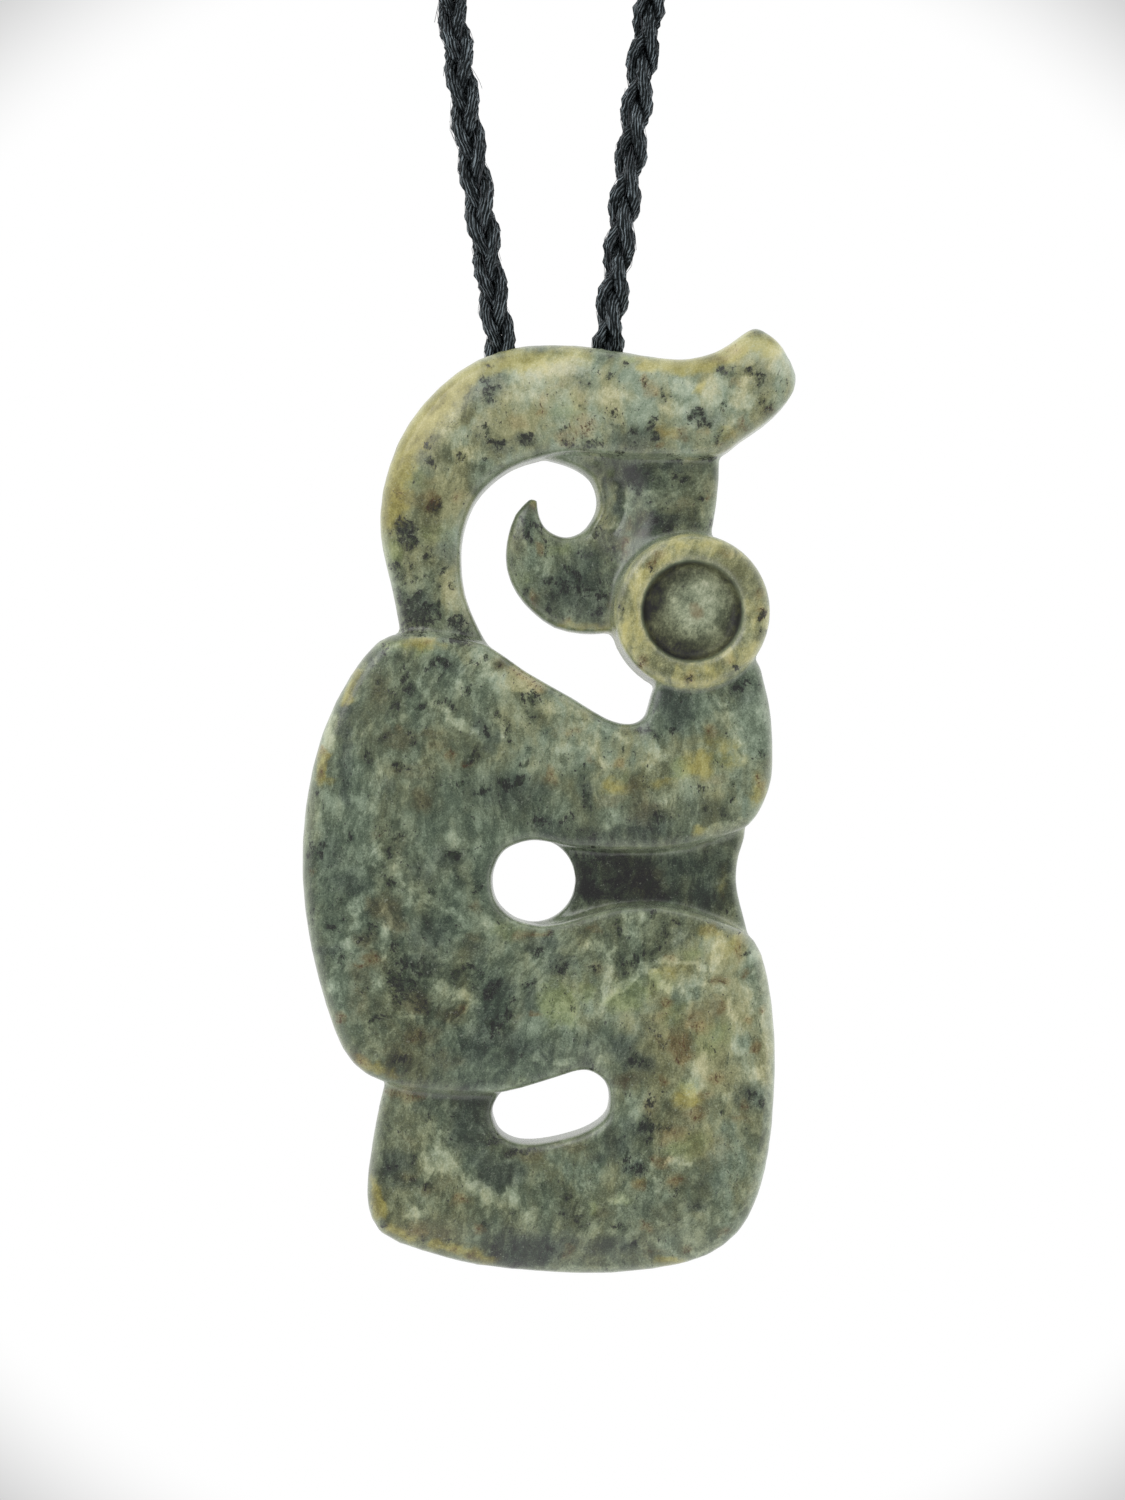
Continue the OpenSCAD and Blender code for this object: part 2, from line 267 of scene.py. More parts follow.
def smooth_line(points, gap):
    """Points about gap apart on the curve that goes through the given points."""
    points = [Vector(p) for p in points]
    ends = [2 * points[0] - points[1], *points, 2 * points[-1] - points[-2]]
    line = []
    for before, here, there, after in zip(ends, ends[1:], ends[2:], ends[3:]):
        steps = max(1, round((there - here).length / gap))
        for k in range(steps):
            t = k / steps
            line.append(
                here + t / 2 * (there - before)
                + t * t / 2 * (2 * before - 5 * here + 4 * there - after)
                + t * t * t / 2 * (3 * here - 3 * there + after - before))
    line.append(points[-1])
    return line


def ways_along(line):
    """How far along each point lies, and the directions along, across and up at it."""
    far, frames = 0.0, []
    for k, point in enumerate(line):
        if k:
            far += (point - line[k - 1]).length
        along = (line[min(k + 1, len(line) - 1)] - line[max(k - 1, 0)]).normalized()
        across = along.cross(Vector((0, 1, 0))).normalized()
        frames.append((far, point, along, across, across.cross(along)))
    return frames


cord_line = smooth_line(CORD_ROUTE, CORD_STEP)
cord_frames = ways_along(cord_line)
cord_long = cord_frames[-1][0]
print("the cord is %.0f mm long, in %d steps" % (cord_long, len(cord_line)))

# %% [markdown]
# The plait has three strands. Each one swings from side to side once in a repeat, and dips under its
# neighbour and back twice, so its middle draws a flat figure of eight. A strand is itself a twist of
# waxed yarns, so its section isn't round but lobed, and the lobes turn as it runs. The whole plait is
# drawn in code, ring by ring, because a cord follows its line and not a shape that could be modelled by
# hand. Each strand gets its own UV map, round and along, for the fine threads.

# %% The plait
STRANDS = 3
REPEATS = 61
STRAND_ROUND = 1.16
YARNS = 5
YARN_SIDES = 3
YARN_LOBE = 0.07
YARN_TWIST = 6.5
SWING = 0.73
DIP = 0.47
UNEVEN_SWING = 0.10
UNEVEN_ROUND = 0.06
PLAIT_TURNS = 8
PLAIT_TURNED = 0.25
PLAIT_TURNS_BY = 0.43
PLAIT_STRAIGHT_AT = 0.4985


def plait_turn(share):
    """How far the whole plait is turned about its line: a cord never hangs without some twist."""
    phase = 2 * math.pi * PLAIT_TURNS * (share - PLAIT_STRAIGHT_AT)
    return PLAIT_TURNED + PLAIT_TURNS_BY * math.sin(phase)


def strand_middles(number):
    """The middle of one strand beside each point of the cord's line."""
    middles = []
    for far, point, along, across, up in cord_frames:
        share = far / cord_long
        phase = 2 * math.pi * (REPEATS * share + number / STRANDS)
        wander = 1 + UNEVEN_SWING * noise.noise(Vector((far / 6, number * 7.1, 0)))
        side = SWING * wander * math.sin(phase)
        lift = DIP * math.sin(2 * phase)
        turn = plait_turn(share)
        middles.append(
            point
            + across * (side * math.cos(turn) - lift * math.sin(turn))
            + up * (side * math.sin(turn) + lift * math.cos(turn)))
    return middles


def tube(middles, ring_at, sides):
    """Points, faces and UVs of a closed tube whose ring at step k is given by ring_at."""
    points, faces, uvs = [], [], []
    frames = ways_along(middles)
    for k, (far, point, along, across, up) in enumerate(frames):
        points += [point + across * x + up * y for x, y in ring_at(k, far)]
    for k in range(len(middles) - 1):
        for i in range(sides):
            j = (i + 1) % sides
            faces.append((k * sides + i, k * sides + j, (k + 1) * sides + j, (k + 1) * sides + i))
            uvs += [(i / sides, frames[k][0]), ((i + 1) / sides, frames[k][0]),
                    ((i + 1) / sides, frames[k + 1][0]), (i / sides, frames[k + 1][0])]
    for first, step in ((0, -1), ((len(middles) - 1) * sides, 1)):
        faces.append([first + i for i in range(sides)][::step])
        uvs += [(0.0, frames[0][0])] * sides
    return points, faces, uvs


def mesh_of(name, tubes):
    """One mesh, in metres, of several tubes given in millimetres."""
    points, faces, uvs = [], [], []
    for tube_points, tube_faces, tube_uvs in tubes:
        start = len(points)
        points += tube_points
        faces += [[start + i for i in face] for face in tube_faces]
        uvs += tube_uvs
    mesh = bpy.data.meshes.new(name)
    mesh.from_pydata([p * MM for p in points], [], faces)
    layer = mesh.uv_layers.new(name="UVMap")
    layer.data.foreach_set("uv", np.array(uvs, dtype=np.float32).ravel())
    mesh.shade_smooth()
    mesh.update()
    return mesh


def strand_ring(k, far, number):
    """The lobed section of a strand: its yarns laid round each other, and turned as it runs on."""
    sides = YARNS * YARN_SIDES
    swell = 1 + UNEVEN_ROUND * noise.noise(Vector((far / 2.5, number * 3.7, 5)))
    ring = []
    for i in range(sides):
        angle = 2 * math.pi * (i / sides + far / YARN_TWIST)
        lobe = math.cos(2 * math.pi * i / YARN_SIDES)
        radius = swell * (STRAND_ROUND / 2 + YARN_LOBE * (lobe - 0.3))
        ring.append((radius * math.cos(angle), radius * math.sin(angle)))
    return ring


strands = [
    tube(strand_middles(number), lambda k, far, n=number: strand_ring(k, far, n), YARNS * YARN_SIDES)
    for number in range(STRANDS)]
plait = new_piece("neck_plait", mesh_of("neck_plait", strands))
print("the plait has", len(plait.data.polygons), "faces")

# %% [markdown]
# Where two strands press on each other no light gets in, and that shade is painted in. Each vertex keeps
# how close it is to another strand's middle, and the colour is painted black where that is close.

# %% Painted shade in the creases between the strands
CREASE_SHADE_REACH = 1.55
CREASE_SHADE_SOFT = 0.5

middle_lines = np.array([strand_middles(number) for number in range(STRANDS)])
skin = np.array([vertex.co / MM for vertex in plait.data.vertices])
skin = skin.reshape(STRANDS, len(cord_line), -1, 3)
crease = np.zeros(skin.shape[:3], dtype=np.float32)
for number in range(STRANDS):
    for other in set(range(STRANDS)) - {number}:
        apart = np.linalg.norm(skin[number] - middle_lines[other][:, None], axis=2) / (STRAND_ROUND / 2)
        pressed = np.clip((CREASE_SHADE_REACH - apart) / CREASE_SHADE_SOFT, 0, 1)
        crease[number] = np.maximum(crease[number], pressed)
# This layer is painted shade between the strands.
plait.data.attributes.new("crease", "FLOAT", "POINT").data.foreach_set("value", crease.ravel())
print("in a crease: %.0f %% of the plait" % (100 * crease.mean()))

# %% [markdown]
# A worn cord is never clean: fine fibres work loose from the yarns. Most of them lie along the strands
# and catch the light, and a few stand off. Each one is a thin bent sliver with three sides, and they are
# one mesh of their own, so that they can have a paler material than the waxed strands.

# %% Loose fibres
FIBRES = 1500
FIBRE_THICK = 0.05
FIBRE_STEPS = 3
FIBRES_LIFTED = 0.12


def fibre(chance, strand_lines):
    """One loose fibre that follows a strand for a few millimetres and then may lift off it."""
    frames = chance.choice(strand_lines)
    reach = chance.randint(1, 3)
    start = chance.randint(4, len(frames) - 5 - reach * FIBRE_STEPS)
    angle = chance.uniform(0, 2 * math.pi)
    drift = chance.gauss(0, 0.35)
    lift = chance.uniform(0.1, 0.5) if chance.random() < FIBRES_LIFTED else chance.uniform(0, 0.05)
    middles = []
    for k in range(FIBRE_STEPS + 1):
        far, point, along, across, up = frames[start + k * reach]
        turn = angle + drift * k
        out = across * math.cos(turn) + up * math.sin(turn)
        middles.append(point + out * (STRAND_ROUND / 2 + 0.05 + lift * (k / FIBRE_STEPS) ** 2))
    thick = FIBRE_THICK * chance.uniform(0.7, 1.2)
    corners = [(thick / 2 * math.cos(a), thick / 2 * math.sin(a)) for a in (0, 2.1, 4.2)]
    return tube(middles, lambda k, far: corners, 3)


strand_lines = [ways_along(strand_middles(number)) for number in range(STRANDS)]
chance = random.Random(11)
fibres = new_piece(
    "loose_fibres", mesh_of("loose_fibres", [fibre(chance, strand_lines) for _ in range(FIBRES)]))
print("the fibres have", len(fibres.data.polygons), "faces")

# %% [markdown]
# The knot at the nape is hidden in the photograph. It is built plainly, as makers close such a cord: the
# two ends meet and are whipped over with the same waxed thread. The Screw modifier sweeps a circle into
# the winding, and a plain rod with softened ends gives the core that shows between its turns.

# %% The whipped knot
knot_low, knot_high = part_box("closing_knot")
knot_middle = (Vector(knot_low) + Vector(knot_high)) / 2
knot_half = (Vector(knot_high) - Vector(knot_low)) / 2
THREAD = 0.8 * MM
TURNS = 10

bpy.ops.object.select_all(action="DESELECT")
bpy.ops.mesh.primitive_cylinder_add(
    vertices=40, radius=knot_half.z - 0.7 * THREAD, depth=2 * knot_half.x - 0.2 * MM,
    rotation=(0, math.radians(90), 0))
core = bpy.context.active_object
bpy.ops.object.transform_apply(location=False, rotation=True, scale=True)
apply_modifier(core, "BEVEL", width=0.5 * MM, segments=3, limit_method="ANGLE")

bpy.ops.object.select_all(action="DESELECT")
bpy.ops.mesh.primitive_circle_add(
    vertices=9, radius=THREAD / 2, location=(0, 0, knot_half.z - THREAD / 2),
    rotation=(math.radians(90), 0, 0))
winding = bpy.context.active_object
bpy.ops.object.transform_apply(location=True, rotation=True, scale=True)
apply_modifier(
    winding, "SCREW", axis="X", angle=2 * math.pi * TURNS, steps=26 * TURNS, render_steps=26 * TURNS,
    screw_offset=2 * knot_half.x - 1.3 * THREAD, use_merge_vertices=False)
winding.data.transform(Matrix.Translation((0.65 * THREAD - knot_half.x, 0, 0)))
choose(winding)
bpy.ops.object.mode_set(mode="EDIT")
bpy.ops.mesh.select_all(action="SELECT")
bpy.ops.mesh.fill_holes(sides=0)
bpy.ops.mesh.normals_make_consistent(inside=False)
bpy.ops.object.mode_set(mode="OBJECT")

choose(winding)
core.select_set(True)
bpy.ops.object.join()
knot = winding
knot.name = "whipped_knot"
knot.data.transform(Matrix.Translation(knot_middle))
bpy.ops.object.shade_smooth_by_angle(angle=math.radians(50))
print("the knot has", len(knot.data.polygons), "faces")

# %% [markdown] The cord's facts are declared, with the knot and the fibres as the pieces on it. It
# leaves the knot, carries the stone and comes back to the knot. The photograph shows the lowest 26 mm
# of each leg. The rest is the length that such a cord needs to slip over a head, and it takes the plain
# way round the neck, with nothing coiled away. Without the fibres it stops. report.md has this as an
# open failure.

# %% The cord's facts
tuple(cord_line[0] * MM)
cord_long * MM
[tuple(p * MM) for p in cord_line]
print("declared: a cord %.0f mm long and %.1f mm thick" % (cord_long, CORD_ROUND))

# %% [markdown]
# The stone is carved from one flat slab: a blank is sawn out, the outline and the openings are ground and
# drilled, and the face is softened by hand with diamond points and then with finer and finer papers. The
# solid model has the real outline, the ring, the dished eye and the lowered jaw and bridge, but its faces
# are flat facets and its edges are sharp. So a copy is melted into an even mesh with a voxel remesh, and
# only its broad faces are smoothed, because the crisp steps of the carving have to stay.

# %% The carved stone
VOXEL = 0.28 * MM
SAME_PLACE = 0.000001

stone = new_piece("greenstone_manaia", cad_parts["carved_stone"].data.copy())
choose(stone)
bpy.ops.object.mode_set(mode="EDIT")
bpy.ops.mesh.select_all(action="SELECT")
bpy.ops.mesh.remove_doubles(threshold=SAME_PLACE)
bpy.ops.mesh.normals_make_consistent(inside=False)
bpy.ops.object.mode_set(mode="OBJECT")
apply_modifier(stone, "REMESH", mode="VOXEL", voxel_size=VOXEL, adaptivity=0, use_smooth_shade=True)
print("the melted stone has", len(stone.data.polygons), "faces")

# %% [markdown]
# A vertex near a crease is one where the surface turns quickly. The turn is measured along every edge,
# spread to the neighbours a few times, and what is left over is the group of broad faces. The Smooth
# modifier works on that group alone, and so rubs out the facets as the fine paper does.

# %% Broad faces are found
SHARP_TURN = math.radians(9)


def vertex_array(mesh, name):
    """Three numbers of every vertex, such as its place or its normal."""
    values = np.empty(len(mesh.vertices) * 3, dtype=np.float32)
    mesh.vertices.foreach_get(name, values)
    return values.reshape(-1, 3)


def edge_array(mesh):
    """The two vertices of every edge."""
    pairs = np.empty(len(mesh.edges) * 2, dtype=np.int32)
    mesh.edges.foreach_get("vertices", pairs)
    return pairs.reshape(-1, 2)


first, second = edge_array(stone.data).T
normals = vertex_array(stone.data, "normal")
bend = np.arccos(np.clip((normals[first] * normals[second]).sum(1), -1, 1))
sharp = np.zeros(len(normals), dtype=np.float32)
np.maximum.at(sharp, first, bend)
np.maximum.at(sharp, second, bend)
creased = (sharp > SHARP_TURN).astype(np.float32)
for spread in (1.0, 0.75, 0.45, 0.2):
    wider = creased.copy()
    np.maximum.at(wider, first, creased[second] * spread)
    np.maximum.at(wider, second, creased[first] * spread)
    creased = wider
print("%.0f%% of the stone is broad face" % (100 * (1 - creased).mean()))

# %% [markdown]
# A group says how much of a modifier each vertex feels. The broad faces are smoothed forty times over,
# which takes the facets out. Two light passes over the whole stone then soften its edges as polishing
# does.

# %% Broad faces are rubbed smooth
def soft_step(values, low, high):
    """0 below low, 1 above high, with a soft step between them."""
    share = np.clip((values - low) / (high - low), 0, 1)
    return share * share * (3 - 2 * share)


def group_of(name, weights):
    """A vertex group of the stone with these weights."""
    group = stone.vertex_groups.new(name=name)
    for index in np.flatnonzero(weights > 0.02):
        group.add([int(index)], float(weights[index]), "REPLACE")


group_of("broad_faces", 1 - creased)
apply_modifier(stone, "SMOOTH", factor=0.5, iterations=40, vertex_group="broad_faces")
apply_modifier(stone, "SMOOTH", factor=0.5, iterations=2)
print("the stone has the groups", [group.name for group in stone.vertex_groups])

# %% [markdown]
# Two places need more than that. The eye is one soft dish, dark at its rim and swelling to the middle, so
# the hard foot of its wall is rubbed out. And beside the hook of the beak the cheek was ground down
# towards the small round opening, in a hollow slope about as wide as a matchstick. Its depth falls off
# with the distance from the opening's edge, on the cheek's side only.

# %% The dish and the ground slope
RING_X, RING_Z = 10.95, 52.75
DISH_ROUND = 3.95
HOOK_HOLE_X, HOOK_HOLE_Z, HOOK_HOLE_ROUND = 2.75, 61.4, 2.85
SLOPE_WIDE = 2.7
SLOPE_DEEP = 1.5
SLOPE_FALLS = 1.6
CHEEK_BELOW, CHEEK_ABOVE = (-85, -50), (-75, -40)


def stone_coordinates():
    """Across, up and depth of every vertex in the stone's frame, in millimetres."""
    places = vertex_array(stone.data, "co") / MM
    return places[:, 0], places[:, 2] + HANG_DROP, places[:, 1]


across_stone, up_stone, depth_stone = stone_coordinates()
from_eye = np.hypot(across_stone - RING_X, up_stone - RING_Z)
in_dish = soft_step(-from_eye, -DISH_ROUND + 0.05, -DISH_ROUND + 0.25)
group_of("dish_floor", in_dish * (depth_stone < -1.0))
apply_modifier(stone, "SMOOTH", factor=0.5, iterations=50, vertex_group="dish_floor")

from_hole = np.hypot(across_stone - HOOK_HOLE_X, up_stone - HOOK_HOLE_Z) - HOOK_HOLE_ROUND
bearing = np.degrees(np.arctan2(up_stone - HOOK_HOLE_Z, across_stone - HOOK_HOLE_X))
side = soft_step(bearing, *CHEEK_BELOW) * soft_step(-bearing, *CHEEK_ABOVE)
near = np.clip(1 - from_hole / SLOPE_WIDE, 0, 1) ** SLOPE_FALLS
front = soft_step(-depth_stone, 0.2, 1.2)
moved = vertex_array(stone.data, "co")
moved[:, 1] += (SLOPE_DEEP * side * near * front * MM).astype(np.float32)
stone.data.vertices.foreach_set("co", moved.ravel())
stone.data.update()
print("the slope moves %d vertices" % (side * near * front > 0.01).sum())

# %% [markdown]
# The stains of a greenstone aren't spread evenly: this one has a yellow rind along the back of the head,
# rusty freckles low on the right, dark clouds in the torso and pale wisps in the lobe. Noise can't be
# told where to put them, so they are dabbed on one by one, as they lie in the photograph. A dab is a soft
# spot: its middle, and half its width and height, in millimetres in the stone's frame. A stroke is a dab
# drawn out: its two ends and half its width. A last number makes either weaker. Each paint is a number
# kept at every vertex, 1 in the middle and 0 at the border, and the shader frays the border later. The
# paint goes right through. The noise that makes the borders ragged starts from the clock unless it gets a
# seed, so it gets one.

# %% Dabs and strokes of paint
BORDER_SEED = 5
across_stone, up_stone, depth_stone = stone_coordinates()


def pushed_about(scale, amount):
    """How far to push each vertex across and up, so that what is painted there gets a ragged border."""
    push = [
        noise.noise_vector(Vector((x, y, z)) * scale)
        for x, y, z in zip(across_stone, depth_stone, up_stone)]
    return np.array(push, dtype=np.float32)[:, [0, 2]] * amount


noise.seed_set(BORDER_SEED)
ragged = pushed_about(0.6, 0.45) + pushed_about(1.6, 0.35)
ragged_across = across_stone + ragged[:, 0]
ragged_up = up_stone + ragged[:, 1]
FULL_TO = 0.5
NONE_FROM = 1.5
THINNEST = 0.28


def keep_layer(name, values):
    """Keeps one number at every vertex of the stone, for the shader to read."""
    kept = stone.data.attributes.new(name, "FLOAT", "POINT")
    kept.data.foreach_set("value", values.astype(np.float32))


def paint(name, dabs=(), strokes=()):
    """Keeps the strongest of the dabs and strokes at each vertex, as a layer of the stone's mesh."""
    layer = np.zeros(len(across_stone), dtype=np.float32)

    def cover(away, strength):
        value = np.clip((NONE_FROM - away) / (NONE_FROM - FULL_TO), 0, 1)
        np.maximum(layer, value * (strength[0] if strength else 1), out=layer)

    for x, z, half_wide, half_high, *strength in dabs:
        half_wide, half_high = max(half_wide, THINNEST), max(half_high, THINNEST)
        cover(np.hypot((ragged_across - x) / half_wide, (ragged_up - z) / half_high), strength)
    for x, z, end_x, end_z, half, *strength in strokes:
        way_x, way_z = end_x - x, end_z - z
        share = ((ragged_across - x) * way_x + (ragged_up - z) * way_z) / (way_x ** 2 + way_z ** 2)
        share = np.clip(share, 0, 1)
        away = np.hypot(ragged_across - x - way_x * share, ragged_up - z - way_z * share)
        cover(away / max(half, THINNEST), strength)
    keep_layer(name, layer)
    print("%s: %d dabs, %d strokes" % (name, len(dabs), len(strokes)))


print("the borders are pushed by up to %.1f mm" % np.abs(ragged).max())

# %% [markdown]
# The rind is the yellow skin of the boulder. The carver left it along the back of the head and the crest,
# and its last traces edge the torso and the foot.

# %% Yellow rind
paint("rind", [
    (-9.6, 68.2, 1, 0.9), (-8.9, 69.2, 0.9, 0.9), (9, 72.3, 0.9, 0.5, 0.5), (12, 72.4, 0.8, 0.5, 0.6),
    (9, 67, 0.9, 0.4, 0.6), (11.7, 70.5, 0.3, 0.5, 0.7), (14, 67, 1.2, 0.7, 0.4),
    (-10.4, 50.1, 1.3, 0.5, 0.9), (-8.8, 50.2, 0.6, 0.3, 0.5), (-18, 39.3, 0.5, 0.3, 0.6),
    (11.4, 40.6, 1.2, 0.9, 0.9), (13.2, 42.2, 1.6, 0.9, 0.5), (4.5, 38.9, 1, 0.7, 0.6),
    (16.2, 38.6, 0.7, 1.2, 0.7), (14.5, 41, 1.2, 0.7, 0.4), (8.6, 39.2, 1, 0.4, 0.5),
    (11.5, 35.2, 0.6, 0.5, 0.6), (12.2, 27.4, 0.9, 0.6, 0.6), (14.3, 26.4, 0.8, 0.7, 0.5),
    (10.6, 14.2, 1, 0.9, 0.8), (9.2, 24.2, 1.6, 0.5, 0.4), (13.4, 26, 1, 1, 0.4),
    (-14.6, 7.6, 0.3, 0.5, 0.6), (9, 1, 1.2, 0.45, 0.8), (6.6, 7.5, 0.5, 0.4, 0.5),
    (5.4, 52, 1, 2.6, 0.5), (7.6, 48.6, 1.6, 1.6, 0.4), (14.6, 56.8, 1.6, 1.4, 0.5),
    (10.8, 47.3, 1.6, 0.8, 0.5), (-1.8, 61.5, 0.3, 0.3, 0.8), (13.6, 31, 0.3, 1.5, 0.4),
], [
    (-13.1, 60.5, -12.5, 64.5, 1.2, 0.85), (-12.5, 64.5, -11, 67.8, 1.4), (-11, 67.8, -8.8, 70, 1.3),
    (-8.8, 70, -6.8, 71.8, 1, 0.9), (-6.8, 71.8, -4.4, 72.8, 0.8, 0.7),
    (-3.8, 72.5, -1.2, 72.7, 0.9, 0.9), (-1, 73, 2.6, 73.2, 0.7, 0.6), (7.2, 72.4, 12.2, 72.5, 0.75, 0.9),
    (12.2, 72.5, 14.6, 73.4, 0.7), (15, 74.4, 17.2, 73.8, 0.9, 0.8), (0.6, 51.7, 4.4, 51.45, 0.35, 0.6),
    (-16.6, 45.8, -15.6, 47.9, 0.35, 0.8), (-18.4, 41.4, -18.4, 39.6, 0.45),
    (-15.4, 17, -12.8, 16.2, 0.5, 0.7), (-14.4, 6.8, -13.9, 5, 0.55), (-13.2, 3.5, -11.6, 2.7, 0.5, 0.7),
    (-9.8, 2.3, -7.6, 1.9, 0.45, 0.8), (-7.6, 1.9, -5, 1.2, 0.5, 0.8),
])

# %% [markdown]
# Where the stone is clearer it turns a yellowish green. Such lime patches lie in the lobe and by the eye.

# %% Lime
paint("lime", [
    (-12.9, 57.5, 0.6, 1.2, 0.8), (-9.6, 59, 1.4, 0.7, 0.4), (11.2, 58.2, 1, 0.5, 0.5),
    (13.4, 57.6, 0.9, 0.5, 0.7), (5.9, 72.9, 0.6, 0.25, 0.9), (10.6, 72.7, 0.4, 0.3, 0.5),
    (-11, 63.2, 1.2, 0.8, 0.5), (1.2, 68.8, 1.6, 0.8, 0.4), (0.6, 57.7, 1, 0.5, 0.6),
    (-2.6, 55.2, 0.8, 0.6, 0.4), (-12.4, 50.1, 1.2, 0.5), (-10.8, 49.6, 1.2, 0.5, 0.6),
    (9.9, 40.2, 0.8, 0.8, 0.8), (13.5, 41, 1, 0.6, 0.5), (5.5, 39.4, 0.4, 1, 0.5),
    (-3.6, 27.4, 1.2, 0.7, 0.5), (0.2, 21.6, 1.4, 1.5), (1, 20.6, 1, 1, 0.8), (5.4, 21.8, 1.4, 0.8, 0.9),
    (6.6, 22.8, 1.4, 1, 0.7), (8.2, 23.4, 1.2, 0.8, 0.5), (9.6, 20.8, 1.2, 1, 0.6),
    (12.4, 19, 1.6, 1.6, 0.6), (11, 25.6, 0.9, 0.6, 0.6), (2.6, 22.6, 1, 1, 0.5),
    (-12.5, 15.4, 1.4, 0.4, 0.5), (-2.9, 15.3, 1, 0.4, 0.4), (11, 10.5, 1.4, 1, 0.9),
    (9.6, 9.9, 1, 0.5, 0.6), (3.2, 5.4, 0.4, 0.8, 0.6), (5.2, 6, 0.8, 0.5, 0.5),
    (10.6, 15, 0.8, 0.6, 0.6), (9.6, 58.4, 1.4, 0.4, 0.6), (12.6, 57.5, 0.8, 0.5, 0.6),
    (15.4, 51.3, 0.6, 1, 0.6), (13, 48.6, 0.8, 0.5, 0.5),
])

# %% [markdown]
# Iron has crept in along cracks and left rusty freckles. There are most of them in the lobe, on the
# right.

